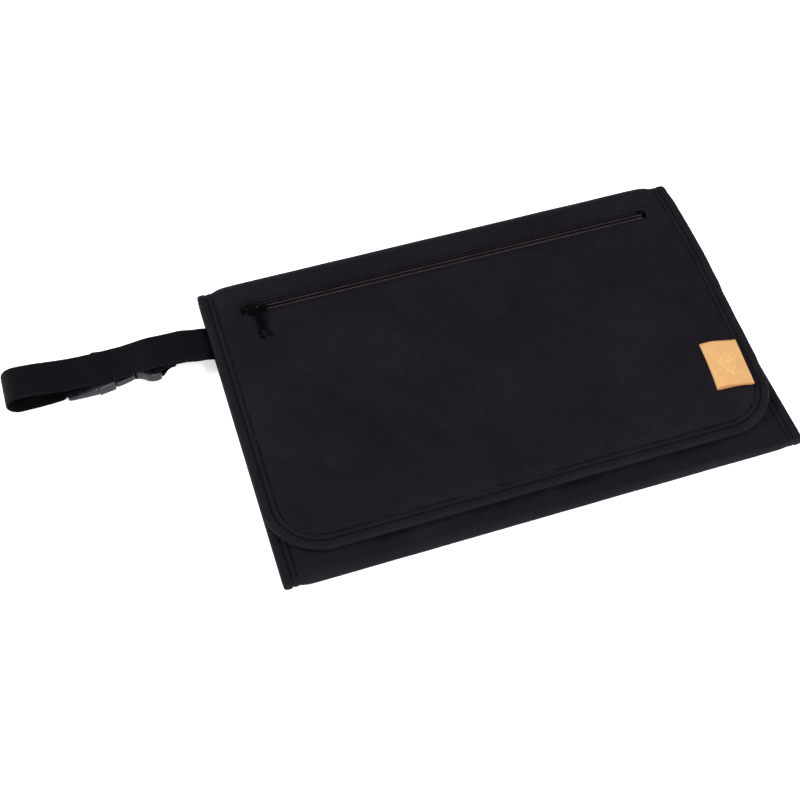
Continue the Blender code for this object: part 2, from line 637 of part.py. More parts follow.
def buckle_female(hold):
    """Sleeve with a closed mouth, an open waist for the release arms and a bar at its rear."""
    half = BUCKLE_W / 2
    low, high = BUCKLE_Z, BUCKLE_T
    stations = (
        (FEMALE_X0, half, high), (MOUTH_END_X, half - 0.0017, high),
        (MOUTH_END_X + 0.0003, WAIST_HALF + 0.0006, high), (WAIST_END_X, WAIST_HALF, high),
        (WAIST_END_X + 0.0035, WAIST_HALF + 0.0014, high),
        (WAIST_END_X + 0.0065, half - 0.0018, high), (FEMALE_X1 - 0.0072, half - 0.0006, high),
        (FEMALE_X1 - 0.0030, half - 0.0005, high - 0.0006),
        (FEMALE_X1 - 0.0010, half - 0.0010, high - 0.0014),
        (FEMALE_X1, SLOT_HALF + 0.0006, high - 0.0022),
    )
    loops = [chamfered_section(x, width, low, top, 0.0013) for x, width, top in stations]
    body = new_object("buckle_female", skin_loops("buckle_female", loops), BUCKLE_PLASTIC, hold)
    mouth, throat = MOUTH_IN_HALF
    cavity_end = WAIST_END_X + 0.0003
    outline = [(FEMALE_X0 - 0.001, -mouth), (MOUTH_END_X, -throat), (cavity_end, -throat),
               (cavity_end, throat), (MOUTH_END_X, throat), (FEMALE_X0 - 0.001, mouth)]
    cavity = extrude_xy("cavity", [(x, STRAP_Y + y) for x, y in outline], low + BUCKLE_WALL,
                        high - BUCKLE_WALL)
    bar_x = FEMALE_X1 - BAR_LEN
    over = box_mesh("over_bar", (bar_x - 0.0005, STRAP_Y - SLOT_HALF, BAR_Z1),
                    (FEMALE_X1 + 0.001, STRAP_Y + SLOT_HALF, 0.02))
    under = box_mesh("under_bar", (bar_x - 0.0005, STRAP_Y - SLOT_HALF, -0.01),
                     (FEMALE_X1 + 0.001, STRAP_Y + SLOT_HALF, BAR_Z0))
    cut(body, [cavity, slot_box(bar_x - 0.0033, bar_x), over, under])


def buckle_male(release):
    """Base block with a ladder of two bars and a guide tongue that enters the sleeve."""
    half = BUCKLE_W / 2
    stations = (
        (MALE_X0, half - 0.0020, 0.0010, 0.0038), (MALE_X0 + 0.0010, half - 0.0012, 0.0003, 0.0046),
        (MALE_X0 + 0.0070, half - 0.0008, BUCKLE_Z, 0.0058),
        (MALE_X1 - 0.0040, half - 0.0004, BUCKLE_Z, BUCKLE_T - 0.0003),
        (MALE_X1, half - 0.0002, BUCKLE_Z, BUCKLE_T - 0.0003),
    )
    loops = [chamfered_section(x, width, z0, z1, 0.0011) for x, width, z0, z1 in stations]
    body = new_object("buckle_male", skin_loops("buckle_male", loops), BUCKLE_PLASTIC, release)
    tongue = box_mesh("tongue", (MALE_X1 - 0.001, STRAP_Y - TONGUE_HALF, 0.0028),
                      (WAIST_END_X - 0.0050, STRAP_Y + TONGUE_HALF, 0.0058))
    add(body, [tongue])
    cut(body, [slot_box(x, x + 0.0030) for x in (MALE_X0 + 0.0034, MALE_X0 + 0.0092)])


def buckle_prong(side, sign, pivot):
    """Springy arm whose pad fills the sleeve's waist and catches behind its mouth."""
    mouth, throat = MOUTH_IN_HALF
    play = 0.0004
    root_x = MALE_X1 + GAP
    catch_x = MOUTH_END_X + 0.0006
    outline = [
        (root_x, mouth - play - PRONG_ARM), (root_x, mouth - play), (MOUTH_END_X - play, throat - play),
        (catch_x, throat - play), (catch_x, throat + 0.0010), (catch_x + 0.0050, throat + 0.0004),
        (WAIST_END_X - 0.0035, throat - 0.0008), (WAIST_END_X - 0.0008, throat - 0.0018),
        (WAIST_END_X - 0.0008, throat - 0.0038), (MOUTH_END_X, throat - play - PRONG_ARM),
    ]
    outline = [(x, STRAP_Y + sign * v) for x, v in outline]
    name = f"buckle_prong_{side}"
    mesh = extrude_xy(name, outline, BUCKLE_Z + BUCKLE_WALL + GAP, BUCKLE_T - BUCKLE_WALL - GAP)
    new_object(name, mesh, BUCKLE_PLASTIC, pivot)


def build():
    clear_scene()
    flap = joint_empty("flap_fold_axis", (0.0, TOP_FOLD_Y, TOP_R))
    lower = joint_empty("lower_fold_axis", (0.0, BOTTOM_FOLD_Y, BOTTOM_R))
    slide = joint_empty("zip_slide_axis", (SLIDER_X, ZIP_Y, BRIDGE_BAR_Z), flap)
    pull = joint_empty("puller_axis", (SLIDER_X, ZIP_Y, BRIDGE_BAR_Z), slide)
    hold = joint_empty("strap_axis", (STRAP_HINGE_X, STRAP_Y, STRAP_HINGE_Z))
    release = joint_empty("buckle_release_axis", (MALE_X1, STRAP_Y, BUCKLE_T / 2), hold)

    back_panel()
    flap_panel(flap)
    hanging_panel("lower", LOWER_Z, PANEL_T, foam_z=LOWER_Z + CLOTH_T + GAP, foam_t=FOAM_T,
                  y_fold=BOTTOM_FOLD_Y, direction=1, length=LOWER_LEN,
                  corner_r=LOWER_CORNER_R, parent=lower)
    fold_cloth("top_fold", TOP_FOLD_Y, TOP_R, TOP_R, 1, 16, GAP)
    fold_cloth("bottom_fold", BOTTOM_FOLD_Y, BOTTOM_R, BOTTOM_R, -1, 12, GAP)
    tape_z = zip_pocket(flap)
    zip_slider(slide, tape_z)
    zip_puller(pull)
    leather_label(flap)
    closure_patches(flap, lower)
    strap(hold, release)
    buckle_female(hold)
    buckle_male(release)
    for side, sign in (("near", -1), ("far", 1)):
        pivot = joint_empty(f"prong_{side}_axis",
                            (PRONG_ROOT_X, STRAP_Y + sign * PRONG_AXIS_Y, BUCKLE_T / 2), release)
        buckle_prong(side, sign, pivot)


build()
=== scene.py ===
"""Looks of the folding changing pouch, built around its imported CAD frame. Metres, +Z up."""
import json
import bisect
import math

import bmesh
import bpy
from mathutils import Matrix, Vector, noise


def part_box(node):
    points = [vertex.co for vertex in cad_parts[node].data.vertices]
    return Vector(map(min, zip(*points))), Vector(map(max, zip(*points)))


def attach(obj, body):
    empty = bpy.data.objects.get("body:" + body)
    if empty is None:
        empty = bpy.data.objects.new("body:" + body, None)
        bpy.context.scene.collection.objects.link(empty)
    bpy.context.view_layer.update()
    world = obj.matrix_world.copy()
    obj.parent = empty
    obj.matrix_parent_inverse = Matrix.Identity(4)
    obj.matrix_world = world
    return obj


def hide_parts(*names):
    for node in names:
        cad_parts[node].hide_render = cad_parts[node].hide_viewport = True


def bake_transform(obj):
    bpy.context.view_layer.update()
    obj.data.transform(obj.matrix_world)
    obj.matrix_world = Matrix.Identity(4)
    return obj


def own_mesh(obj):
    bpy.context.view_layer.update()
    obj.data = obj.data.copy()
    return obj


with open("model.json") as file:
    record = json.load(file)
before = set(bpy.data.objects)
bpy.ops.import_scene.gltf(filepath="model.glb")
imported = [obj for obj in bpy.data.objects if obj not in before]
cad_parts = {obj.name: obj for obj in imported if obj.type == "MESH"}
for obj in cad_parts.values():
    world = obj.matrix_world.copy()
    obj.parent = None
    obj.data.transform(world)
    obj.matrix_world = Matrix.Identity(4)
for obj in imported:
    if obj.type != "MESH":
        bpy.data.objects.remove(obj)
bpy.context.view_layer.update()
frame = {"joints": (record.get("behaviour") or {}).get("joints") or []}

MM = 0.001

# ---------------------------------------------------------------- places read from the frame
FLAP_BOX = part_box("flap_binding")
LOWER_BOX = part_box("lower_binding")
BACK_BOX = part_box("back_shell")
HALF_W = FLAP_BOX[1].x
FLAP_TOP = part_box("flap_shell")[1].z
FLAP_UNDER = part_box("flap_lining")[0].z
LOWER_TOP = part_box("lower_shell")[1].z
LOWER_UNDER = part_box("lower_lining")[0].z
BACK_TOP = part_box("back_lining")[1].z
TOP_FOLD_Y = BACK_BOX[1].y
BOTTOM_FOLD_Y = BACK_BOX[0].y
ZIP_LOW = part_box("zip_coil_lower")
ZIP_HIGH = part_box("zip_coil_upper")
ZIP_Y = (ZIP_LOW[0].y + ZIP_HIGH[1].y) / 2
STOP_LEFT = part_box("zip_stop_left")
STOP_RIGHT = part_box("zip_stop_right")
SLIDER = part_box("zip_slider")
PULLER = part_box("zip_puller")
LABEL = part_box("leather_label")
UPPER_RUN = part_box("strap_upper_run")
LOWER_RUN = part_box("strap_lower_run")
END_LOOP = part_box("strap_end_loop")
ANCHOR_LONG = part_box("strap_anchor_long")
ANCHOR_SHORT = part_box("strap_anchor_short")
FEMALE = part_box("buckle_female")
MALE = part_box("buckle_male")
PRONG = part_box("buckle_prong_near")
JOINTS = {joint["name"]: joint for joint in frame["joints"]}

# ---------------------------------------------------------------- sizes of the cloth work
CLOTH_T = 0.6 * MM
RIM_HALF = 1.65 * MM            # half the bound edge's thickness
BINDING_W = 9.0 * MM
FLAP_CORNER = 36 * MM
LOWER_CORNER = 10 * MM
GRID = 3.4 * MM                 # spacing of the cloth grids
STITCH_PITCH = 3.1 * MM
STITCH_INSET = 5.8 * MM
ZIP_WINDOW_LOW = 2.65 * MM      # the cloth lies close below the teeth and shows some tape above them
ZIP_WINDOW_HIGH = 5.2 * MM
RISE = BINDING_W - 0.6 * MM      # where the padding begins to lift the cloth
PAD_INSET = RISE + 6.8 * MM      # the padding stays where the panel has its full height
PAD_T = 1.3 * MM
PATCH_T = 0.5 * MM
FLAP_SKEW = 1.5 * MM            # the flap lies slightly askew
FLAP_SHORT = 2.9 * MM           # and its free edge stops short of the CAD flap's
FLAP_DROOP = 2.1 * MM
FOLD_PUFF = 1.0 * MM            # the cloth stands proud where it rolls over the top fold
BASE_SKEW = 1.8 * MM            # the bottom fold is slightly askew too
BASE_WIDER = 1.1 * MM           # and the lower layers spread a little at the right
# How far the flap's right-hand edge bows out, by its height on the pouch.
RIGHT_EDGE = ((-0.102, -3.6), (-0.075, -3.3), (-0.060, -2.6), (-0.045, -1.2), (-0.020, -0.3),
              (0.005, 0.7), (0.020, 2.0), (0.045, 3.0), (0.065, 2.9), (0.090, 2.4), (0.1054, 1.2))

# Creases of the flap's face: start, end, half-width and depth, a ridge where the depth is negative.
CREASES = (
    ((0.066, 0.076), (0.021, 0.030), 5.5 * MM, 2.5 * MM),
    ((0.040, 0.074), (0.016, 0.040), 7.0 * MM, -0.9 * MM),
    ((0.064, 0.044), (0.032, 0.018), 8.0 * MM, -0.9 * MM),
    ((0.004, 0.020), (-0.038, -0.046), 9.0 * MM, 0.7 * MM),
    ((0.006, -0.006), (-0.036, -0.088), 9.0 * MM, -0.8 * MM),
    ((0.012, -0.012), (-0.004, -0.088), 7.0 * MM, -0.6 * MM),
    ((0.024, -0.020), (0.030, -0.086), 9.0 * MM, 0.6 * MM),
    ((-0.070, -0.018), (-0.118, -0.078), 10.0 * MM, 1.1 * MM),
    ((-0.157, 0.044), (-0.126, 0.052), 4.5 * MM, 1.0 * MM),
    ((-0.130, 0.051), (-0.096, 0.076), 6.0 * MM, 0.8 * MM),
    ((-0.157, -0.003), (-0.118, 0.003), 4.0 * MM, 0.9 * MM),
    ((-0.157, -0.026), (-0.124, -0.044), 4.0 * MM, 0.8 * MM),
    ((0.118, 0.028), (0.157, -0.008), 4.5 * MM, 0.9 * MM),
    ((0.104, 0.068), (0.090, 0.040), 8.0 * MM, 0.7 * MM),
    ((-0.044, 0.064), (-0.040, 0.052), 7.0 * MM, 0.5 * MM),
    ((0.120, -0.040), (0.080, -0.075), 11.0 * MM, -0.6 * MM),
)


# ---------------------------------------------------------------- small maths
def clamp(value, low=0.0, high=1.0):
    return max(low, min(high, value))


def smooth(value):
    t = clamp(value)
    return t * t * (3 - 2 * t)


def mix(a, b, t):
    return a + (b - a) * t


def ripple(x, y, size, seed=0.0):
    """Smooth noise from -1 to 1 with features of about the given size."""
    return noise.noise(Vector((x / size, y / size, seed)))


def steps_between(low, high, size):
    count = max(1, round((high - low) / size))
    return [low + (high - low) * i / count for i in range(count + 1)]


class Panel:
    """Outline and levels of one padded panel that hangs from a fold line."""

    def __init__(self, y_fold, y_free, under, top, corner):
        self.y_fold = y_fold
        self.y_free = y_free
        self.sign = 1 if y_free > y_fold else -1
        self.length = abs(y_free - y_fold)
        self.under = under
        self.top = top
        self.rim = (under + top) / 2
        self.corner = corner

    def inset(self, x, y):
        """Distance inside the bound edge, which leaves out the fold lines."""
        if not self.corner:
            return HALF_W - abs(x)
        along = (y - self.y_fold) * self.sign
        dx = abs(x) - (HALF_W - self.corner)
        dv = along - (self.length - self.corner)
        if dx > 0 and dv > 0:
            return self.corner - math.hypot(dx, dv)
        return min(HALF_W - abs(x), self.length - along)

    def half_width(self, y, margin):
        """Half the width at a height, for an outline drawn in by a margin."""
        radius = self.corner - margin
        dv = (y - self.y_fold) * self.sign - (self.length - self.corner)
        if dv <= 0 or radius <= 0:
            return HALF_W - margin
        return HALF_W - self.corner + math.sqrt(max(0.0, radius * radius - dv * dv))

    def edge_path(self, spacing):
        """Points of the bound edge with their inward normals, from left fold end to right."""
        path = []
        straight = self.length - self.corner
        for v in steps_between(0.0, straight, spacing):
            path.append((-HALF_W, self.y_fold + self.sign * v, 1.0, 0.0))
        turn = max(4, round(self.corner * math.pi / 2 / spacing))
        for i in range(1, turn):
            a = math.pi / 2 * i / turn
            path.append((-(HALF_W - self.corner) - self.corner * math.cos(a),
                         self.y_fold + self.sign * (straight + self.corner * math.sin(a)),
                         math.cos(a), -self.sign * math.sin(a)))
        half = HALF_W - self.corner
        y_free = self.y_fold + self.sign * self.length
        bottom = [(x, y_free, 0.0, -self.sign) for x in steps_between(-half, half, spacing)]
        mirrored = [(-x, y, -nx, ny) for x, y, nx, ny in reversed(path)]
        return path + bottom + mirrored


FLAP = Panel(TOP_FOLD_Y, FLAP_BOX[0].y, FLAP_UNDER, FLAP_TOP, FLAP_CORNER)
LOWER = Panel(BOTTOM_FOLD_Y, LOWER_BOX[1].y, LOWER_UNDER, LOWER_TOP, LOWER_CORNER)
BACK = Panel(TOP_FOLD_Y, BOTTOM_FOLD_Y, 0.0, BACK_TOP, 0.0)


def right_bow(y):
    """Interpolated reach of the flap's right-hand edge."""
    if y <= RIGHT_EDGE[0][0]:
        return RIGHT_EDGE[0][1] * MM
    for (y0, a), (y1, b) in zip(RIGHT_EDGE, RIGHT_EDGE[1:]):
        if y <= y1:
            return mix(a, b, smooth((y - y0) / (y1 - y0))) * MM
    return 0.0


def flap_drape(point):
    """The flap's slight skew, its bowed right edge and the droop of its free edges."""
    x, y, z = point
    v = clamp((FLAP.y_fold - y) / FLAP.length, 0.0, 1.02)
    side = x / HALF_W
    x_new = x + right_bow(y) * smooth((x - 0.03) / (HALF_W - 0.03))
    y_new = y + (FLAP_SHORT + FLAP_SKEW * side) * v * v
    edge = clamp((abs(side) - 0.80) / 0.20) ** 2 * smooth(v / 0.35)
    lifted = 0.25 * math.exp(-((x - 0.040) / 0.050) ** 2)
    free = clamp((v - 0.78) / 0.22) ** 2 * (1 - lifted)
    return Vector((x_new, y_new, z - FLAP_DROOP * max(0.55 * edge, free)))


def base_drape(point):
    """The small skew and spread shared by the back and lower panels and their fold."""
    x, y, z = point
    down, up = clamp(-y / 0.11), smooth(y / FLAP.y_fold)
    wider = BASE_WIDER * down + right_bow(FLAP.y_fold) * up
    skew = BASE_SKEW * clamp((BOTTOM_FOLD_Y - y) / (4 * MM)) * x / HALF_W
    return Vector((x + wider * smooth((x - 0.03) / (HALF_W - 0.03)), y + skew, z))


def fold_puff(x):
    """How far the cloth stands proud at the top fold."""
    lift = smooth((HALF_W - abs(x) - RISE) / (9.0 * MM))
    return FOLD_PUFF * lift * (1 + 0.25 * ripple(x, 0.0, 34 * MM, 12.0))


def lifted(inset, rim, face):
    """Height of a cloth that rises from its flat rim to its face."""
    return mix(rim, face, smooth((inset - RISE) / (6.0 * MM)))


def crease_depth(x, y):
    total = 0.0
    for (x0, y0), (x1, y1), width, depth in CREASES:
        dx, dy = x1 - x0, y1 - y0
        t = ((x - x0) * dx + (y - y0) * dy) / (dx * dx + dy * dy)
        near = clamp(t)
        off = math.hypot(x - x0 - near * dx, y - y0 - near * dy)
        spread = width * (0.75 + 0.5 * near)
        total += depth * math.exp(-(off / spread) ** 2)
    return total


# ---------------------------------------------------------------- mesh building
def link(name, mesh):
    obj = bpy.data.objects.new(name, mesh)
    bpy.context.scene.collection.objects.link(obj)
    return obj


def mesh_object(name, verts, faces, uvs=None, mat=None, smooth_deg=45):
    """A mesh object with faces out and, where given, one UV per vertex in metres."""
    mesh = bpy.data.meshes.new(name)
    mesh.from_pydata([tuple(v) for v in verts], [], faces)
    if uvs is not None:
        layer = mesh.uv_layers.new(name="weave")
        for loop in mesh.loops:
            layer.data[loop.index].uv = uvs[loop.vertex_index]
    bm = bmesh.new()
    bm.from_mesh(mesh)
    bmesh.ops.recalc_face_normals(bm, faces=bm.faces)
    bm.to_mesh(mesh)
    bm.free()
    mesh.shade_smooth()
    mesh.set_sharp_from_angle(angle=math.radians(smooth_deg))
    if mat is not None:
        mesh.materials.append(mat)
    return link(name, mesh)


def bake_modifiers(obj):
    """Replace an object's mesh by its evaluated one and drop its modifiers."""
    bpy.context.view_layer.update()
    evaluated = obj.evaluated_get(bpy.context.evaluated_depsgraph_get())
    mesh = bpy.data.meshes.new_from_object(evaluated)
    obj.modifiers.clear()
    obj.data = mesh
    return obj


def cloth_grid(cols, rows, place, keep):
    """Points of one cloth layer on a grid, and the cells of it that are cloth."""
    points = [[place(x, y) for x in cols] for y in rows]
    cells = set()
    for j in range(len(rows) - 1):
        for i in range(len(cols) - 1):
            mid_x = (cols[i] + cols[i + 1]) / 2
            mid_y = (rows[j] + rows[j + 1]) / 2
            if keep is None or keep(mid_x, mid_y):
                cells.add((i, j))
    return points, cells


def simulate(points, cells, pinned, grow, pressure, cap):
    """Let one cloth layer settle into soft wrinkles between its pinned points."""
    width = len(points[0])
    verts = [tuple(p) for row in points for p in row]
    faces = [(j * width + i, j * width + i + 1, (j + 1) * width + i + 1, (j + 1) * width + i)
             for i, j in sorted(cells)]
    mesh = bpy.data.meshes.new("settling")
    mesh.from_pydata(verts, [], faces)
    obj = link("settling", mesh)
    group = obj.vertex_groups.new(name="held")
    held = [k for k, v in enumerate(verts) if pinned(v[0], v[1])]
    group.add(held, 1.0, "REPLACE")
    cloth = obj.modifiers.new("cloth", "CLOTH")
    settings = cloth.settings
    settings.quality = 6
    settings.mass = 0.25
    settings.tension_stiffness = 20
    settings.compression_stiffness = 20
    settings.bending_stiffness = 1.2
    settings.air_damping = 3
    settings.vertex_group_mass = "held"
    settings.shrink_min = -grow
    settings.use_pressure = True
    settings.uniform_pressure_force = pressure
    settings.effector_weights.gravity = 0
    cloth.collision_settings.use_collision = False
    scene = bpy.context.scene
    for number in range(1, 21):
        scene.frame_set(number)
    evaluated = obj.evaluated_get(bpy.context.evaluated_depsgraph_get())
    moved = [v.co.copy() for v in evaluated.data.vertices]
    bpy.data.objects.remove(obj, do_unlink=True)
    scene.frame_set(1)
    result = []
    for j, row in enumerate(points):
        line = []
        for i, point in enumerate(row):
            shift = moved[j * width + i] - Vector(point)
            if shift.length > cap:
                shift *= cap / shift.length
            line.append(Vector(point) + shift)
        result.append(line)
    return result


def thick_sheet(name, points, cells, thickness, cols, rows, mat, towards=1, levels=0):
    """Closed sheet of cloth from its outer layer; the other layer lies on the far side."""
    width, height = len(points[0]), len(points)
    normals = []
    for j in range(height):
        for i in range(width):
            a = points[j][max(i - 1, 0)]
            b = points[j][min(i + 1, width - 1)]
            c = points[max(j - 1, 0)][i]
            d = points[min(j + 1, height - 1)][i]
            normal = (Vector(b) - Vector(a)).cross(Vector(d) - Vector(c))
            normals.append(normal.normalized() * towards)
    outer = [Vector(p) for row in points for p in row]
    inner = [p - n * thickness for p, n in zip(outer, normals)]
    used = sorted({k for i, j in cells for k in
                   (j * width + i, j * width + i + 1, (j + 1) * width + i,
                    (j + 1) * width + i + 1)})
    index = {k: n for n, k in enumerate(used)}
    total = len(used)
    verts = [outer[k] for k in used] + [inner[k] for k in used]
    flat = [(cols[k % width], rows[k // width]) for k in used]
    faces, rim = [], {}
    for i, j in sorted(cells):
        ring = [index[k] for k in (j * width + i, j * width + i + 1,
                                   (j + 1) * width + i + 1, (j + 1) * width + i)]
        faces.append(tuple(ring))
        faces.append(tuple(total + k for k in reversed(ring)))
        for a, b in zip(ring, ring[1:] + ring[:1]):
            rim[(a, b)] = True
    for a, b in rim:
        if (b, a) not in rim:
            faces.append((a, b, total + b, total + a))
    obj = mesh_object(name, verts, faces, flat + flat, mat)
    if levels:
        crisp = obj.data.attributes.new("crease_edge", "FLOAT", "EDGE")
        ends = {index[k] % total for k in used if k // width in (0, height - 1)}
        for edge in obj.data.edges:
            a, b = edge.vertices
            crisp.data[edge.index].value = float(a % total in ends and b % total in ends)
        mod = obj.modifiers.new("soften", "SUBSURF")
        mod.levels = mod.render_levels = levels
        mod.boundary_smooth = "PRESERVE_CORNERS"
        bake_modifiers(obj)
    return obj


def sweep(name, sections, uv_rows, mat, closed=True, smooth_deg=50):
    """Skin a row of equal closed sections with flat ends."""
    count = len(sections[0])
    verts = [p for section in sections for p in section]
    uvs = [uv for row in uv_rows for uv in row]
    faces = []
    for i in range(len(sections) - 1):
        for j in range(count):
            k = (j + 1) % count
            a, b = i * count, (i + 1) * count
            faces.append((a + j, a + k, b + k, b + j))
    if closed:
        faces.append(tuple(range(count)))
        faces.append(tuple(range((len(sections) - 1) * count, len(sections) * count)))
    return mesh_object(name, verts, faces, uvs, mat, smooth_deg)


def solid_box(name, low, high, bevel, mat=None, segments=2):
    """A block with rounded edges."""
    bm = bmesh.new()
    bmesh.ops.create_cube(bm, size=1.0)
    size = Vector(high) - Vector(low)
    centre = (Vector(high) + Vector(low)) / 2
    for v in bm.verts:
        v.co = Vector((v.co.x * size.x, v.co.y * size.y, v.co.z * size.z)) + centre
    if bevel:
        bmesh.ops.bevel(bm, geom=bm.edges[:], offset=bevel, segments=segments, profile=0.5,
                        affect="EDGES")
    mesh = bpy.data.meshes.new(name)
    bm.to_mesh(mesh)
    bm.free()
    mesh.shade_smooth()
    mesh.set_sharp_from_angle(angle=math.radians(40))
    if mat is not None:
        mesh.materials.append(mat)
    return link(name, mesh)


def prism(name, outline, low, high, axis, bevel=0.0, mat=None, segments=2):
    """An outline extruded along an axis, with its edges rounded."""
    bm = bmesh.new()
    place = {"X": lambda u, v, w: (w, u, v), "Y": lambda u, v, w: (u, w, v),
             "Z": lambda u, v, w: (u, v, w)}[axis]
    base = [bm.verts.new(place(u, v, low)) for u, v in outline]
    face = bm.faces.new(base)
    top = bmesh.ops.extrude_face_region(bm, geom=[face])
    moved = [g for g in top["geom"] if isinstance(g, bmesh.types.BMVert)]
    offset = Vector(place(0.0, 0.0, high - low))
    bmesh.ops.translate(bm, verts=moved, vec=offset)
    bmesh.ops.recalc_face_normals(bm, faces=bm.faces)
    if bevel:
        sharp = [e for e in bm.edges if e.calc_face_angle(0.0) > math.radians(35)]
        bmesh.ops.bevel(bm, geom=sharp, offset=bevel, segments=segments, profile=0.5,
                        affect="EDGES", clamp_overlap=True)
    mesh = bpy.data.meshes.new(name)
    bm.to_mesh(mesh)
    bm.free()
    mesh.shade_smooth()
    mesh.set_sharp_from_angle(angle=math.radians(40))
    if mat is not None:
        mesh.materials.append(mat)
    return link(name, mesh)


def combine(obj, pieces, operation):
    """Boolean several helper objects into one, then remove them."""
    for piece in pieces:
        mod = obj.modifiers.new(piece.name, "BOOLEAN")
        mod.operation = operation
        mod.object = piece
        mod.solver = "EXACT"
    bake_modifiers(obj)
    for piece in pieces:
        bpy.data.objects.remove(piece, do_unlink=True)
    obj.data.shade_smooth()
    obj.data.set_sharp_from_angle(angle=math.radians(38))
    return obj


def round_edges(obj, width, segments=2, angle=35):
    mod = obj.modifiers.new("round", "BEVEL")
    mod.width = width
    mod.segments = segments
    mod.limit_method = "ANGLE"
    mod.angle_limit = math.radians(angle)
    mod.harden_normals = False
    bake_modifiers(obj)
    obj.data.shade_smooth()
    obj.data.set_sharp_from_angle(angle=math.radians(50))
    return obj


# ---------------------------------------------------------------- materials
class Nodes:
    """Short-hand for building one material's node tree."""

    def __init__(self, name):
        self.mat = bpy.data.materials.new(name)
        self.mat.use_nodes = True
        self.tree = self.mat.node_tree
        self.shader = self.tree.nodes["Principled BSDF"]

    def new(self, kind, **values):
        node = self.tree.nodes.new(kind)
        for key, value in values.items():
            setattr(node, key, value)
        return node

    def wire(self, source, target):
        self.tree.links.new(source, target)

    def set(self, **values):
        names = {"rough": "Roughness", "metal": "Metallic", "sheen": "Sheen Weight",
                 "sheen_rough": "Sheen Roughness", "specular": "Specular IOR Level",
                 "coat": "Coat Weight", "coat_rough": "Coat Roughness", "ior": "IOR"}
        for key, value in values.items():
            self.shader.inputs[names[key]].default_value = value

    def maths(self, operation, a, b=None):
        node = self.new("ShaderNodeMath", operation=operation)
        for socket, value in zip(node.inputs, (a, b)):
            if value is None:
                continue
            if isinstance(value, (int, float)):
                socket.default_value = value
            else:
                self.wire(value, socket)
        return node.outputs[0]

    def weave_uv(self):
        node = self.new("ShaderNodeUVMap", uv_map="weave")
        split = self.new("ShaderNodeSeparateXYZ")
        self.wire(node.outputs["UV"], split.inputs[0])
        return node.outputs["UV"], split.outputs[0], split.outputs[1]

    def object_coords(self):
        return self.new("ShaderNodeTexCoord").outputs["Object"]

    def noise(self, coords, scale, detail=3.0, rough=0.55, distortion=0.0):
        node = self.new("ShaderNodeTexNoise")
        node.inputs["Scale"].default_value = scale
        node.inputs["Detail"].default_value = detail
        node.inputs["Roughness"].default_value = rough
        node.inputs["Distortion"].default_value = distortion
        self.wire(coords, node.inputs["Vector"])
        return node.outputs["Fac"]

    def ramp(self, value, stops):
        node = self.new("ShaderNodeValToRGB")
        elements = node.color_ramp.elements
        while len(elements) < len(stops):
            elements.new(0.5)
        for element, (position, colour) in zip(elements, stops):
            element.position = position
            element.color = (*colour, 1.0)
        self.wire(value, node.inputs["Fac"])
        return node.outputs["Color"]

    def blend_colour(self, factor, a, b, mode="MIX"):
        node = self.new("ShaderNodeMix", data_type="RGBA", blend_type=mode)
        sockets = [node.inputs[0], node.inputs[6], node.inputs[7]]
        for socket, value in zip(sockets, (factor, a, b)):
            if isinstance(value, tuple):
                socket.default_value = (*value, 1.0)
            elif isinstance(value, (int, float)):
                socket.default_value = value
            else:
                self.wire(value, socket)
        return node.outputs[2]

    def bump(self, height, strength, distance, after=None):
        node = self.new("ShaderNodeBump")
        node.inputs["Strength"].default_value = strength
        node.inputs["Distance"].default_value = distance
        self.wire(height, node.inputs["Height"])
        if after is not None:
            self.wire(after, node.inputs["Normal"])
        return node.outputs["Normal"]

    def finish(self, colour=None, normal=None, rough=None):
        if colour is not None:
            self.wire(colour, self.shader.inputs["Base Color"])
        if normal is not None:
            self.wire(normal, self.shader.inputs["Normal"])
        if rough is not None:
            self.wire(rough, self.shader.inputs["Roughness"])
        return self.mat


def shade(colour, factor):
    return tuple(channel * factor for channel in colour)


def woven(name, colour, yarn, contrast, sheen, rough, relief=0.06, fade=0.22):
    """Plain-weave cloth: crossing yarns, slubs along them and a faint uneven fade."""
    n = Nodes(name)
    uv, u, v = n.weave_uv()
    wave_u = n.maths("SINE", n.maths("MULTIPLY", u, math.pi / yarn))
    wave_v = n.maths("SINE", n.maths("MULTIPLY", v, math.pi / yarn))
    cross = n.maths("MULTIPLY", wave_u, wave_v)
    fuzz = n.noise(uv, 900.0, 4.0, 0.65)
    slub_u = n.new("ShaderNodeMapping")
    slub_u.inputs["Scale"].default_value = (1600.0, 90.0, 1.0)
    n.wire(uv, slub_u.inputs["Vector"])
    slub_v = n.new("ShaderNodeMapping")
    slub_v.inputs["Scale"].default_value = (90.0, 1600.0, 1.0)
    n.wire(uv, slub_v.inputs["Vector"])
    yarns = n.maths("ADD", n.noise(slub_u.outputs[0], 1.0, 2.0), n.noise(slub_v.outputs[0], 1.0, 2.0))
    height = n.maths("ADD", n.maths("MULTIPLY", cross, 0.5), n.maths("MULTIPLY", yarns, 0.9))
    height = n.maths("ADD", height, n.maths("MULTIPLY", fuzz, 0.5))
    patches = n.noise(uv, 16.0, 3.0, 0.5)
    tint = n.ramp(n.maths("MULTIPLY", yarns, 0.5),
                  [(0.30, shade(colour, 1 - contrast)), (0.70, shade(colour, 1 + contrast))])
    worn = n.ramp(patches, [(0.30, (1 - fade,) * 3), (0.72, (1 + fade,) * 3)])
    base = n.blend_colour(1.0, tint, worn, "MULTIPLY")
    n.set(rough=rough, sheen=sheen, sheen_rough=0.45, specular=0.05)
    return n.finish(base, n.bump(height, relief * 10, 0.00025))


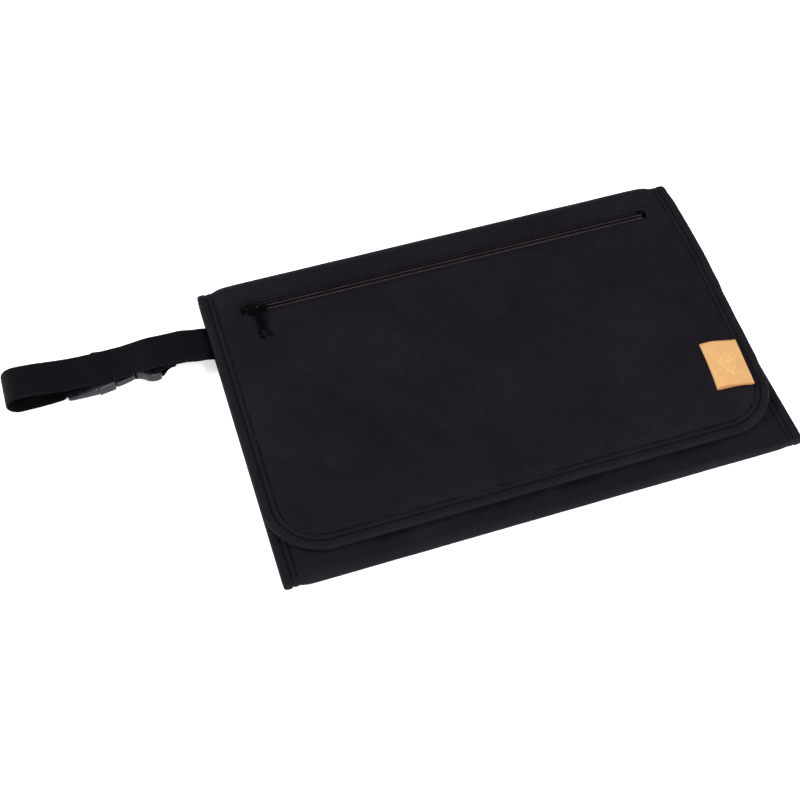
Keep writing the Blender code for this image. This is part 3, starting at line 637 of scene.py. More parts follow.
def herringbone(name, colour, pitch, turn, relief=1.0):
    """Ribbed webbing whose diagonal ribs turn at one line along the strap."""
    n = Nodes(name)
    uv, u, v = n.weave_uv()
    folded = n.maths("ABSOLUTE", n.maths("SUBTRACT", v, turn))
    slant = n.maths("SUBTRACT", n.maths("MULTIPLY", folded, 1.15), u)
    rib = n.maths("SINE", n.maths("MULTIPLY", slant, 2 * math.pi / pitch))
    pick = n.maths("SINE", n.maths("MULTIPLY", v, 2 * math.pi / (pitch * 0.62)))
    height = n.maths("ADD", rib, n.maths("MULTIPLY", pick, 0.25))
    fuzz = n.noise(uv, 1400.0, 3.0, 0.6)
    height = n.maths("ADD", height, n.maths("MULTIPLY", fuzz, 0.8))
    tint = n.ramp(n.maths("ADD", n.maths("MULTIPLY", rib, 0.32), 0.5),
                  [(0.30, shade(colour, 0.05)), (0.72, shade(colour, 3.0))])
    worn = n.ramp(n.noise(uv, 30.0, 3.0), [(0.3, (0.85,) * 3), (0.7, (1.15,) * 3)])
    base = n.blend_colour(1.0, tint, worn, "MULTIPLY")
    n.set(rough=0.58, sheen=0.003, sheen_rough=0.4, specular=0.04)
    return n.finish(base, n.bump(height, 0.55 * relief, 0.0003))


def tape_weave(name, colour, rib, rough=0.7, sheen=0.08, groove=None, gleam=0.06):
    """Narrow woven tape with fine ribs along its length and a soft fuzz.

    The groove argument gives a line in V and the distances from it where the tape is darkened by painted
    shade and where it's not.
    """
    n = Nodes(name)
    uv, u, v = n.weave_uv()
    ribs = n.maths("SINE", n.maths("MULTIPLY", v, 2 * math.pi / rib))
    picks = n.maths("SINE", n.maths("MULTIPLY", u, 2 * math.pi / (rib * 0.8)))
    height = n.maths("ADD", ribs, n.maths("MULTIPLY", picks, 0.6))
    fuzz = n.noise(uv, 1100.0, 4.0, 0.65)
    height = n.maths("ADD", height, fuzz)
    tint = n.ramp(fuzz, [(0.3, shade(colour, 0.65)), (0.7, shade(colour, 1.45))])
    worn = n.ramp(n.noise(uv, 45.0, 3.0), [(0.3, (0.8,) * 3), (0.75, (1.25,) * 3)])
    base = n.blend_colour(1.0, tint, worn, "MULTIPLY")
    # Painted shade: near the line the tape is darkened and its gleam taken away, as the shadow beside the
    # zip coil.
    if groove:
        line, dark, clear = groove
        off = n.maths("MULTIPLY", n.maths("ABSOLUTE", n.maths("SUBTRACT", v, line)), 100.0)
        shadow = n.ramp(off, [(dark * 100, (0.12,) * 3), (clear * 100, (1.0,) * 3)])
        base = n.blend_colour(1.0, base, shadow, "MULTIPLY")
        gleam_in_shade = n.ramp(off, [(dark * 100, (0.0,) * 3), (clear * 100, (gleam,) * 3)])
        n.wire(gleam_in_shade, n.shader.inputs["Specular IOR Level"])
    n.set(rough=rough, sheen=sheen, sheen_rough=0.45, specular=gleam)
    return n.finish(base, n.bump(height, 0.35, 0.0002))


def moulded(name, colour, rough, grain, specular=0.5):
    """Moulded plastic: a fine spark-eroded grain and faint flow marks in its tone and gloss."""
    n = Nodes(name)
    coords = n.object_coords()
    fine = n.noise(coords, 2600.0, 3.0, 0.6)
    flow = n.noise(coords, 120.0, 4.0, 0.6, 1.5)
    tint = n.ramp(flow, [(0.25, shade(colour, 0.75)), (0.75, shade(colour, 1.3))])
    polish = n.ramp(flow, [(0.2, (rough * 0.8,) * 3), (0.8, (rough * 1.25,) * 3)])
    n.set(specular=specular)
    return n.finish(tint, n.bump(fine, grain, 0.00008), polish)


def lacquered_metal(name, colour):
    """Black lacquered die-cast metal with orange-peel gloss and small scuffs."""
    n = Nodes(name)
    coords = n.object_coords()
    peel = n.noise(coords, 900.0, 2.0, 0.5)
    scuffs = n.noise(coords, 420.0, 6.0, 0.75, 2.0)
    tint = n.ramp(scuffs, [(0.55, colour), (0.78, shade(colour, 4.0))])
    polish = n.ramp(scuffs, [(0.3, (0.10,) * 3), (0.8, (0.24,) * 3)])
    n.set(specular=0.05)
    return n.finish(tint, n.bump(peel, 0.12, 0.0001), polish)


def nylon_coil(name, colour):
    """Coil of dark nylon wire, with a painted highlight on the crown of each loop and painted shade over the
    rest.
    """
    n = Nodes(name)
    coords = n.object_coords()
    _, _, v = n.weave_uv()
    tone = n.noise(coords, 260.0, 3.0)
    tint = n.ramp(tone, [(0.3, shade(colour, 0.6)), (0.75, shade(colour, 1.5))])
    # Painted light: the pale colour shows only on the loop crowns as a painted highlight, and the rest is
    # darkened as painted shade.
    crown_highlight = n.ramp(v, [(0.25, (0.02,) * 3), (0.90, (1.0,) * 3)])
    tint = n.blend_colour(1.0, tint, crown_highlight, "MULTIPLY")
    polish = n.ramp(tone, [(0.2, (0.28,) * 3), (0.8, (0.42,) * 3)])
    n.set(specular=0.03)
    return n.finish(tint, n.bump(n.noise(coords, 3000.0, 2.0), 0.1, 0.00005), polish)


def tan_leather(name, colour, dark):
    """Vegetable-tanned leather: pores, creases, uneven colour and burnished edges."""
    n = Nodes(name)
    _, u, v = n.weave_uv()
    coords = n.object_coords()
    cells = n.new("ShaderNodeTexVoronoi", feature="DISTANCE_TO_EDGE")
    cells.inputs["Scale"].default_value = 1300.0
    n.wire(coords, cells.inputs["Vector"])
    pores = n.ramp(cells.outputs["Distance"], [(0.0, (0.0,) * 3), (0.25, (1.0,) * 3)])
    broad = n.noise(coords, 110.0, 4.0, 0.6, 0.6)
    mottled = n.ramp(broad, [(0.28, shade(colour, 0.88)), (0.55, colour), (0.8, shade(colour, 1.12))])
    # u and v run from 0 to 1 over the leaf, so the burnish follows its cut edges.
    edge_v = n.maths("MULTIPLY", n.maths("ABSOLUTE", n.maths("SUBTRACT", v, 0.5)), 2.0)
    burnish = n.ramp(edge_v, [(0.93, (0.0,) * 3), (1.0, (0.75,) * 3)])
    base = n.blend_colour(burnish, mottled, dark)
    base = n.blend_colour(0.18, base, pores, "MULTIPLY")
    # Two nested lozenges are burnt in with a fine hot line.
    across = n.maths("MULTIPLY", n.maths("ABSOLUTE", n.maths("SUBTRACT", u, 0.52)), 1 / 0.31)
    along = n.maths("MULTIPLY", n.maths("ABSOLUTE", n.maths("SUBTRACT", v, 0.5)), 1 / 0.29)
    size = n.maths("ADD", across, along)
    lines = n.ramp(size, [(0.0, (0.0,) * 3), (0.46, (0.0,) * 3), (0.49, (1.0,) * 3), (0.52, (0.0,) * 3),
                          (0.955, (0.0,) * 3), (0.98, (1.0,) * 3), (1.0, (0.3,) * 3)])
    base = n.blend_colour(n.maths("MULTIPLY", lines, 0.55), base, dark)
    wrinkles = n.noise(coords, 420.0, 5.0, 0.7)
    height = n.maths("ADD", n.maths("MULTIPLY", pores, 0.5), wrinkles)
    n.set(rough=0.52, specular=0.35, sheen=0.05)
    return n.finish(base, n.bump(height, 0.30, 0.00012))


def open_foam(name, colour):
    n = Nodes(name)
    coords = n.object_coords()
    cells = n.new("ShaderNodeTexVoronoi")
    cells.inputs["Scale"].default_value = 1800.0
    n.wire(coords, cells.inputs["Vector"])
    tint = n.ramp(cells.outputs["Distance"], [(0.1, shade(colour, 0.55)), (0.5, colour)])
    n.set(rough=0.95, sheen=0.2)
    return n.finish(tint, n.bump(cells.outputs["Distance"], 0.6, 0.0003))


def hook_and_loop(name, colour):
    n = Nodes(name)
    coords = n.object_coords()
    loops = n.noise(coords, 1500.0, 4.0, 0.8, 3.0)
    tint = n.ramp(loops, [(0.3, shade(colour, 0.5)), (0.7, shade(colour, 2.4))])
    n.set(rough=0.9, sheen=0.3)
    return n.finish(tint, n.bump(loops, 1.0, 0.0006))


CLOTH_COLOUR = (0.0056, 0.0047, 0.0076)
MATS = {
    "fabric": woven("pouch_cloth", CLOTH_COLOUR, 0.45 * MM, 0.45, 0.006, 0.72),
    "lining": woven("coated_lining", (0.016, 0.0155, 0.019), 0.35 * MM, 0.15, 0.01, 0.50, 0.025, 0.1),
    "binding": tape_weave("edge_tape", (0.0053, 0.0045, 0.0072), 0.55 * MM, 0.7, 0.006),
    # The zip tape carries a band of painted shade along the coil.
    "zip_tape": tape_weave("zip_tape_weave", (0.0062, 0.0050, 0.0074), 0.5 * MM, 0.7, 0.004,
                           (ZIP_Y, 3.2 * MM, 3.7 * MM)),
    "webbing": herringbone("strap_webbing", (0.0017, 0.0016, 0.0025), 2.1 * MM, 5.5 * MM),
    # This near-black tape makes the painted shadow strips along the bindings, and also the black zip stops.
    "seam": tape_weave("painted_shadow_strip", (0.0010, 0.0009, 0.0012), 0.6 * MM, 0.9, 0.0, None, 0.02),
    # The thread is near black: its own dark colour, darkened further as painted shade of the stitch groove.
    "thread": tape_weave("thread_and_groove_shade", (0.0019, 0.0016, 0.0026), 0.3 * MM, 0.5, 0.0, None, 0.03),
    # The coil's pale colour is its painted highlight, which the material darkens everywhere but the crowns.
    "coil": nylon_coil("zip_coil_nylon", (0.096, 0.073, 0.083)),
    "metal": lacquered_metal("slider_lacquer", (0.0009, 0.0009, 0.0009)),
    "leather": tan_leather("tab_leather", (0.580, 0.334, 0.129), (0.30, 0.115, 0.035)),
    "plastic": moulded("buckle_acetal", (0.0088, 0.0092, 0.0130), 0.24, 0.25, 0.24),
    "foam": open_foam("panel_foam", (0.40, 0.40, 0.39)),
    "hook_loop": hook_and_loop("closure_pile", (0.010, 0.010, 0.012)),
}


# ---------------------------------------------------------------- padded panels
def own(obj, body, slot, *nodes):
    """A piece that rides on a body and stands for CAD nodes."""
    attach(obj, body)
    if nodes:
        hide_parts(*nodes)
    return obj


def panel_grid(panel, margin, extra_cols=(), extra_rows=()):
    """Grid lines of a panel's cloth: columns are shares of the half-width."""
    half = HALF_W - margin
    cols = set(steps_between(-1.0, 1.0, GRID / half))
    cols |= {x / half for x in extra_cols}
    y_free = panel.y_fold + panel.sign * (panel.length - margin)
    rows = set(steps_between(min(panel.y_fold, y_free), max(panel.y_fold, y_free), GRID))
    rows |= set(extra_rows)

    def thin(values, gap, keepers):
        kept = []
        for value in sorted(values):
            if kept and value - kept[-1] < gap:
                if value in keepers:
                    kept[-1] = value
                continue
            kept.append(value)
        return kept

    first_last = {min(cols), max(cols)}
    cols = thin(cols, 0.45 * GRID / half, {x / half for x in extra_cols} | first_last)
    first_last = {min(rows), max(rows)}
    rows = thin(rows, 0.45 * GRID, set(extra_rows) | first_last)
    return cols, rows


def padded_cloth(name, panel, body, side, mat, slot, nodes, drape=base_drape, window=None,
                 relief=None, margin=1.0 * MM, sim=True, levels=1):
    """One outer or inner cloth of a panel: flat rim under the binding, pillowed inside it.

    side is 1 for the cloth on the panel's upper face and -1 for the one on its lower face.
    """
    extra_cols = (window[0], window[1]) if window else ()
    extra_rows = (window[2], window[3]) if window else ()
    cols, rows = panel_grid(panel, margin, extra_cols, extra_rows)
    half = HALF_W - margin
    face = panel.top if side > 0 else panel.under
    rim = panel.rim + side * 0.85 * MM

    def place(share, y):
        x = share * panel.half_width(y, margin)
        inset = panel.inset(x, y)
        z = lifted(inset, rim, face)
        if relief is not None:
            z += relief(x, y) * smooth((inset - RISE) / (4 * MM))
        return Vector((x, y, z))

    def keep(share, y):
        x = share * half
        return not (window and window[0] < x < window[1] and window[2] < y < window[3])

    points, cells = cloth_grid(cols, rows, place, keep)

    def pinned(x, y):
        if panel.inset(x, y) < 10 * MM or abs(y - panel.y_fold) < 1.2 * GRID:
            return True
        if panel is BACK and abs(y - BOTTOM_FOLD_Y) < 1.2 * GRID:
            return True
        if window is None:
            return False
        edge = 6.8 * MM
        return window[0] - edge < x < window[1] + edge and window[2] - edge < y < window[3] + edge

    if sim:
        points = simulate(points, cells, pinned, 0.006, 0.15 * side, 1.1 * MM)
    settled = [[p.z for p in row] for row in points]
    points = [[drape(p) for p in row] for row in points]
    flat_cols = [share * half for share in cols]
    obj = thick_sheet(name, points, cells, CLOTH_T, flat_cols, rows, mat, side, levels)
    own(obj, body, slot, *nodes)
    size = (2 * half, max(rows) - min(rows))
    area = size[0] * size[1]
    if window:
        area -= (window[1] - window[0]) * (window[3] - window[2])
    if panel.corner > margin:
        area -= 2 * (1 - math.pi / 4) * (panel.corner - margin) ** 2

    def height(x, y):
        """Height of the settled cloth, before its drape."""
        share = clamp(x / panel.half_width(y, margin), cols[0], cols[-1])
        i = min(max(bisect.bisect(cols, share) - 1, 0), len(cols) - 2)
        j = min(max(bisect.bisect(rows, y) - 1, 0), len(rows) - 2)
        t = clamp((share - cols[i]) / (cols[i + 1] - cols[i]))
        u = clamp((y - rows[j]) / (rows[j + 1] - rows[j]))
        here = mix(settled[j][i], settled[j][i + 1], t)
        beyond = mix(settled[j + 1][i], settled[j + 1][i + 1], t)
        return mix(here, beyond, u)
    return height


def flap_relief(x, y):
    """Creases, broad sag and fine puckers of the flap's face."""
    inset = FLAP.inset(x, y)
    z = -crease_depth(x, y) * smooth((FLAP.y_fold - y) / (16 * MM))
    z += 0.45 * MM * ripple(x, y, 46 * MM, 3.1)
    z += 0.20 * MM * ripple(x, y, 15 * MM, 7.7)
    near_seam = math.exp(-((inset - 11 * MM) / (6 * MM)) ** 2)
    z += 0.30 * MM * near_seam * ripple(x, y, 7 * MM, 1.4)
    near_zip = math.exp(-((abs(y - ZIP_Y) - 8 * MM) / (5 * MM)) ** 2)
    z += 0.22 * MM * near_zip * ripple(x, y * 0.3, 8 * MM, 5.2)
    z *= 0.3 + 0.7 * smooth((abs(y - ZIP_Y) - 4 * MM) / (5 * MM))
    # Over the zip tape the cloth has only the tape's gap to sink into.
    z = max(z, mix(-0.2 * MM, -4 * MM, smooth((abs(y - ZIP_Y) - 9.5 * MM) / (9 * MM))))
    fold_side = smooth((FLAP.y_fold - y) / (10 * MM))
    puffed = fold_puff(x) * math.exp(-((FLAP.y_fold - y) / (9 * MM)) ** 2)
    return z * fold_side + puffed


def lower_relief(x, y):
    inset = LOWER.inset(x, y)
    z = 0.25 * MM * ripple(x, y, 38 * MM, 9.3)
    z += 0.12 * MM * ripple(x, y, 12 * MM, 2.3)
    near_seam = math.exp(-((inset - 11 * MM) / (5 * MM)) ** 2)
    z += 0.25 * MM * near_seam * ripple(x, y, 7 * MM, 6.6)
    return z * smooth((y - LOWER.y_fold) / (8 * MM))


def channel_relief(seed, face):
    """Soft channels where the lining is stitched through the padding."""
    pitch = 55 * MM

    def relief(x, y):
        off = abs((x / pitch) % 1.0 - 0.5) * pitch
        groove = math.exp(-(off / (2.6 * MM)) ** 2)
        z = -face * 0.32 * MM * groove
        return z + 0.15 * MM * ripple(x, y, 30 * MM, seed)
    return relief


def pad_sheet(name, low, high, thick, top, drape, mat, edge, corner=0.0):
    """A slab inside a panel whose upper face follows a given height."""
    cols = steps_between(low.x, high.x, 3 * MM)
    rows = steps_between(low.y, high.y, 3 * MM)

    def place(x, y):
        near = min(x - low.x, high.x - x, y - low.y, high.y - y)
        full = math.sqrt(clamp(near / edge)) if near < edge else 1.0
        return Vector((x, y, top(x, y) - (1 - full) * thick / 2))

    points, cells = cloth_grid(cols, rows, place, None)
    points = [[drape(p) for p in row] for row in points]
    if corner > 0:
        cells = {(i, j) for i, j in cells
                 if math.hypot(max(0.0, abs(cols[i] + cols[i + 1]) / 2 - high.x + corner),
                               max(0.0, low.y + corner - (rows[j] + rows[j + 1]) / 2)) < corner}
    return thick_sheet(name, points, cells, thick, cols, rows, mat, 1)


def foam_pad(panel, body, face, inner, drape=base_drape, corner=0.0):
    """Padding between a panel's two cloths, ending short of its folds and edges."""
    low, high = (Vector(p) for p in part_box(f"{body}_foam"))
    high.x = min(high.x, HALF_W - PAD_INSET)
    low.x = -high.x
    low.y = max(low.y, BOTTOM_FOLD_Y + 4 * MM)
    high.y = min(high.y, TOP_FOLD_Y - 4 * MM)
    if panel is FLAP:
        low.y = max(low.y, FLAP.y_free + PAD_INSET)
    if panel is LOWER:
        high.y = min(high.y, LOWER.y_free - PAD_INSET)

    def top(x, y):
        return max(face(x, y) - CLOTH_T - 0.3 * MM, inner(x, y) + CLOTH_T + 0.2 * MM + PAD_T)

    pad = pad_sheet(f"{body}_padding", low, high, PAD_T, top, drape, MATS["foam"], 2.2 * MM, corner)
    own(pad, body, "foam", f"{body}_foam")


def flap_under_relief(x, y):
    """The lining and padding of the flap follow its face, less deeply."""
    return 0.6 * flap_relief(x, y) - 0.3 * MM


def panels():
    """All the cloths and pads; returns the settled heights of the upper faces."""
    window = (STOP_LEFT[0].x - 0.3 * MM, STOP_RIGHT[0].x - 1.0 * MM,
              ZIP_Y - ZIP_WINDOW_LOW, ZIP_Y + ZIP_WINDOW_HIGH)
    face = padded_cloth("flap_face", FLAP, "flap", 1, MATS["fabric"], "fabric", ["flap_shell"],
                        flap_drape, window, flap_relief)
    under = padded_cloth("flap_inner", FLAP, "flap", -1, MATS["lining"], "lining", ["flap_lining"],
                         flap_drape, None, flap_under_relief, sim=False)
    lower = padded_cloth("lower_face", LOWER, "lower", 1, MATS["fabric"], "fabric", ["lower_shell"],
                         relief=lower_relief)
    inner = padded_cloth("lower_inner", LOWER, "lower", -1, MATS["lining"], "lining",
                         ["lower_lining"], relief=channel_relief(8.1, -1), sim=False)
    outside = padded_cloth("back_face", BACK, "back", -1, MATS["fabric"], "fabric",
                           ["back_shell"], sim=False, levels=0)
    back = padded_cloth("back_inner", BACK, "back", 1, MATS["lining"], "lining", ["back_lining"],
                        relief=channel_relief(2.9, 1), sim=False)
    low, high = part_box("zip_pocket_bag")
    pocket = pad_sheet("pocket_bag_cloth", low, high, high.z - low.z - 0.1 * MM,
                       lambda x, y: face(x, y) - CLOTH_T - 0.25 * MM, flap_drape,
                       MATS["lining"], 0.3 * MM)
    own(pocket, "flap", "lining", "zip_pocket_bag")
    foam_pad(FLAP, "flap", lambda x, y: face(x, y) - 0.75 * MM, under, flap_drape,
             FLAP_CORNER - PAD_INSET)
    foam_pad(LOWER, "lower", lower, inner)
    foam_pad(BACK, "back", back, outside)
    return {"flap": face, "lower": lower, "under": under}


# ---------------------------------------------------------------- bindings and their stitching
def binding_profile(wobble=0.0, thick=0.0):
    """U-shaped section of the edge tape: inset and height from the rim's middle."""
    h = RIM_HALF + thick
    w = BINDING_W + wobble
    upper = [
        (w - 0.1 * MM, h - 0.95 * MM), (w + 0.10 * MM, h - 0.62 * MM), (w - 0.25 * MM, h - 0.32 * MM),
        (STITCH_INSET + 0.7 * MM, h - 0.36 * MM), (STITCH_INSET, h - 0.78 * MM),
        (STITCH_INSET - 0.7 * MM, h - 0.36 * MM), (4.4 * MM, h - 0.02 * MM), (2.4 * MM, h),
        (1.0 * MM, h - 0.22 * MM), (0.3 * MM, h - 0.75 * MM), (0.0, 0.35 * h),
    ]
    lower = [(inset, -z) for inset, z in reversed(upper)]
    inner = [(1.2 * MM, -(h - 0.95 * MM)), (1.2 * MM, h - 0.95 * MM)]
    return upper + lower + inner


def profile_lengths(profile):
    """Distance along a section from its first point, for the weave."""
    lengths = [0.0]
    for (a, b), (c, d) in zip(profile, profile[1:]):
        lengths.append(lengths[-1] + math.hypot(c - a, d - b))
    return lengths


def edge_binding(name, path, rim, drape, seed):
    """Binding tape along a row of edge points with inward normals."""
    sections, uv_rows = [], []
    travelled = 0.0
    for i, (x, y, nx, ny) in enumerate(path):
        if i:
            travelled += math.hypot(x - path[i - 1][0], y - path[i - 1][1])
        wobble = 0.35 * MM * ripple(travelled, 0.0, 17 * MM, seed)
        thick = 0.16 * MM * ripple(travelled, 0.0, 8 * MM, seed + 2)
        ends = min(travelled, 6 * MM) / (6 * MM)
        profile = binding_profile(wobble * ends, thick * ends)
        sections.append([drape((x + nx * d, y + ny * d, rim + z)) for d, z in profile])
        uv_rows.append([(travelled, s) for s in profile_lengths(profile)])
    return sweep(name, sections, uv_rows, MATS["binding"])


def stitch_row(name, points, normals, length, radius, mat):
    """A row of thread stitches that lie on a surface, each a little spindle."""
    verts, faces, uvs = [], [], []
    rings = ((-0.5, 0.25), (-0.32, 0.9), (0.0, 1.0), (0.32, 0.9), (0.5, 0.25))
    sides = 6
    for i in range(len(points) - 1):
        a, b = Vector(points[i]), Vector(points[i + 1])
        along = (b - a).normalized()
        up = Vector(normals[i]).normalized()
        across = along.cross(up).normalized()
        centre = (a + b) / 2
        base = len(verts)
        for share, size in rings:
            dip = up * (-radius * 1.1 * (abs(share) * 2) ** 3)
            for k in range(sides):
                angle = 2 * math.pi * k / sides
                ring = across * math.cos(angle) + up * math.sin(angle)
                verts.append(centre + along * share * length + ring * radius * size + dip)
                uvs.append((share * length, radius * angle))
        for r in range(len(rings) - 1):
            for k in range(sides):
                m = (k + 1) % sides
                faces.append((base + r * sides + k, base + r * sides + m,
                              base + (r + 1) * sides + m, base + (r + 1) * sides + k))
        faces.append(tuple(base + k for k in range(sides)))
        last = base + (len(rings) - 1) * sides
        faces.append(tuple(last + k for k in range(sides)))
    return mesh_object(name, verts, faces, uvs, mat, 80)


def even_points(points, pitch):
    """Points at an even pitch along a line, with the share of the line that each is at."""
    lengths = [0.0]
    for a, b in zip(points, points[1:]):
        lengths.append(lengths[-1] + (Vector(b) - Vector(a)).length)
    count = max(1, round(lengths[-1] / pitch))
    result, k = [], 0
    for i in range(count + 1):
        target = lengths[-1] * i / count
        while k < len(lengths) - 2 and lengths[k + 1] < target:
            k += 1
        span = lengths[k + 1] - lengths[k]
        t = (target - lengths[k]) / span if span else 0.0
        result.append(Vector(points[k]).lerp(Vector(points[k + 1]), t))
    return result


def seam_shadow(name, path, drape, body, face):
    """A near-black strip of painted shadow where the cloth dives under the upper edge of its binding."""
    sections, uv_rows = [], []
    travelled = 0.0
    for i, (x, y, nx, ny) in enumerate(path):
        if i:
            travelled += math.hypot(x - path[i - 1][0], y - path[i - 1][1])
        row = []
        sunk = 0.10 * ripple(travelled, 0.0, 6 * MM, 8.0)
        for d, dz in ((-0.42, -0.4), (-0.32, 0.02), (0.0, 0.08), (0.32, 0.02), (0.42, -0.4)):
            dz += sunk
            inset = BINDING_W + (0.40 + d) * MM + 0.20 * MM * ripple(travelled, 0.0, 7 * MM, 4.0)
            px, py = x + nx * inset, y + ny * inset
            row.append(drape((px, py, face(px, py) + dz * MM)))
        sections.append(row)
        uv_rows.append([(travelled, k * 0.4 * MM) for k in range(5)])
    own(sweep(name, sections, uv_rows, MATS["seam"]), body, "binding")


def binding_stitches(name, path, rim, drape, body):
    """The seam that holds a binding, one row on each face."""
    for face, sign in (("top", 1), ("under", -1)):
        height = sign * (RIM_HALF - 0.42 * MM)
        line = [drape((x + nx * STITCH_INSET, y + ny * STITCH_INSET, rim + height))
                for x, y, nx, ny in path]
        points = even_points(line, STITCH_PITCH)
        # The near-black thread also carries painted shade of the stitch groove.
        row = stitch_row(f"{name}_{face}", points, [(0, 0, sign)] * len(points), 2.6 * MM,
                         0.32 * MM, MATS["thread"])
        own(row, body, "binding")


def straight_path(sign, y0, y1, spacing):
    return [(sign * HALF_W, y, -sign, 0.0) for y in steps_between(y0, y1, spacing)]


def bindings():
    spacing = 2.0 * MM
    for name, panel, drape, seed in (("flap", FLAP, flap_drape, 1.0), ("lower", LOWER, base_drape, 5.0)):
        path = panel.edge_path(spacing)
        tape = edge_binding(f"{name}_edge_tape", path, panel.rim, drape, seed)
        own(tape, name, "binding", f"{name}_binding")
        binding_stitches(f"{name}_edge_seam", path, panel.rim, drape, name)
        # Along each binding's inner edge lies a near-black strip of painted shadow.
        seam_shadow(f"{name}_painted_shadow_strip", path, drape, name, FACES[name])
    for side, sign in (("left", -1), ("right", 1)):
        path = straight_path(sign, BOTTOM_FOLD_Y, TOP_FOLD_Y, spacing)
        tape = edge_binding(f"back_edge_tape_{side}", path, BACK.rim, base_drape, 9.0 + sign)
        own(tape, "back", "binding", f"back_binding_{side}")
        binding_stitches(f"back_edge_seam_{side}", path, BACK.rim, base_drape, "back")


# ---------------------------------------------------------------- folds
def follow_fold(obj, panel, body, y_axis, z_low, z_high):
    """A top-fold piece rides on the back panel with a mesh of its own; a bottom-fold piece has its place
    baked into its mesh.
    """
    if panel is FLAP:
        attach(obj, "back")
        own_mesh(obj)
    else:
        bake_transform(obj)


def fold_roll(name, panel, body, y_axis, towards, bulge, node):
    """Outer cloth round a fold, from the back panel's face up to the moving panel's face."""
    z_low, z_high = BACK.under, panel.top
    cols = steps_between(-(HALF_W - 1 * MM), HALF_W - 1 * MM, GRID)
    turns = 16 if panel is FLAP else 10
    angles = [math.pi * i / turns for i in range(turns + 1)]

    def place(x, angle):
        inset = HALF_W - abs(x)
        high = lifted(inset, panel.rim + 0.85 * MM, z_high)
        if panel is FLAP:
            high += fold_puff(x) * smooth((inset - RISE) / (4 * MM))
        low = lifted(inset, BACK.rim - 0.85 * MM, z_low)
        size, middle = (high - low) / 2, (high + low) / 2
        soft = bulge + 0.25 * MM * ripple(x, 0.0, 30 * MM, 6.0)
        ease = smooth((inset - 2 * MM) / (26 * MM))
        out = size * math.sin(angle) + soft * math.sin(angle) ** 2 * ease
        return Vector((x, y_axis + towards * out, middle - size * math.cos(angle)))

    points, cells = cloth_grid(cols, angles, place, None)
    points = [[base_drape(p) for p in row] for row in points]
    radius = (z_high - z_low) / 2
    lengths = [angle * radius for angle in angles]
    obj = thick_sheet(name, points, cells, CLOTH_T, cols, lengths, MATS["fabric"], -towards, 1)
    follow_fold(obj, panel, body, y_axis, z_low, z_high)
    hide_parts(node)
    return obj


def fold_binding(name, panel, body, y_axis, towards, sign, node):
    """Binding round the end of a fold, from the back panel's edge to the moving panel's."""
    centre = (panel.rim + BACK.rim) / 2
    radius = (panel.rim - BACK.rim) / 2
    turns = 18 if radius > 4 * MM else 12
    profile = binding_profile()
    lengths = profile_lengths(profile)
    sections, uv_rows = [], []
    for i in range(turns + 1):
        angle = math.pi * i / turns
        row = []
        for inset, h in profile:
            r = max(radius + h, 0.25 * MM + 0.02 * (h + 2 * MM))
            row.append(base_drape((sign * (HALF_W - inset), y_axis + towards * r * math.sin(angle),
                                   centre - r * math.cos(angle))))
        sections.append(row)
        uv_rows.append([(angle * radius, s) for s in lengths])
    obj = sweep(name, sections, uv_rows, MATS["binding"])
    follow_fold(obj, panel, body, y_axis, BACK.rim - RIM_HALF, panel.rim + RIM_HALF)
    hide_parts(node)
    return obj


def folds():
    for prefix, panel, body, y_axis, towards, bulge in (
            ("top_fold", FLAP, "flap", TOP_FOLD_Y, 1, 1.3 * MM),
            ("bottom_fold", LOWER, "lower", BOTTOM_FOLD_Y, -1, 0.2 * MM)):
        fold_roll(f"{prefix}_roll", panel, body, y_axis, towards, bulge, f"{prefix}_cloth")
        for side, sign in (("left", -1), ("right", 1)):
            fold_binding(f"{prefix}_tape_{side}", panel, body, y_axis, towards, sign,
                         f"{prefix}_binding_{side}")


# ---------------------------------------------------------------- zip
def zip_tapes():
    for side, sign in (("lower", -1), ("upper", 1)):
        low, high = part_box(f"zip_tape_{side}")
        cols = steps_between(low.x, high.x, 4 * MM)
        rows = steps_between(low.y, high.y, 0.9 * MM)

        def place(x, y):
            dip = 0.12 * MM * ripple(x, y, 9 * MM, 3.0 + sign)
            return Vector((x, y, high.z + dip))

        points, cells = cloth_grid(cols, rows, place, None)
        tape = thick_sheet(f"zip_tape_{side}_cloth", points, cells, high.z - low.z, cols, rows,
                           MATS["zip_tape"])
        own(tape, "flap", "zip_tape", f"zip_tape_{side}")


def zip_coils():
    """Each coil half is one flattened helix of monofilament, half a pitch out of step."""
    pitch, wire, sides, per_turn = 1.30 * MM, 0.25 * MM, 5, 16
    for side, sign in (("lower", -1), ("upper", 1)):
        low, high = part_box(f"zip_coil_{side}")
        half_w = (high.y - low.y) / 2 - wire
        half_h = (high.z - low.z) / 2 - wire
        mid_y, mid_z = (low.y + high.y) / 2, (low.z + high.z) / 2
        turns = int((high.x - low.x - 2 * wire) / pitch - 0.5)
        total = turns * per_turn
        path = []
        for i in range(total + 1):
            turn = i / per_turn
            angle = 2 * math.pi * turn
            across = math.copysign(abs(math.cos(angle)) ** 0.7, math.cos(angle))
            path.append(Vector((
                low.x + wire + pitch * (turn + (0.5 if sign > 0 else 0.0)),
                mid_y - sign * half_w * across, mid_z + half_h * math.sin(angle))))
        sections, uv_rows = [], []
        for i, point in enumerate(path):
            # V carries the wire's painted highlight, full on the crown of each loop.
            crown = max(0.0, math.sin(2 * math.pi * i / per_turn)) ** 5
            along = (path[min(i + 1, total)] - path[max(i - 1, 0)]).normalized()
            out = along.cross(Vector((1.0, 0.0, 0.0))).normalized()
            third = along.cross(out).normalized()
            sections.append([point + (out * math.cos(2 * math.pi * k / sides)
                                      + third * math.sin(2 * math.pi * k / sides)) * wire
                             for k in range(sides)])
            uv_rows.append([(i * 0.001, crown)] * sides)
        coil = sweep(f"zip_coil_{side}_helix", sections, uv_rows, MATS["coil"], smooth_deg=85)
        own(coil, "flap", "zip_coil", f"zip_coil_{side}")


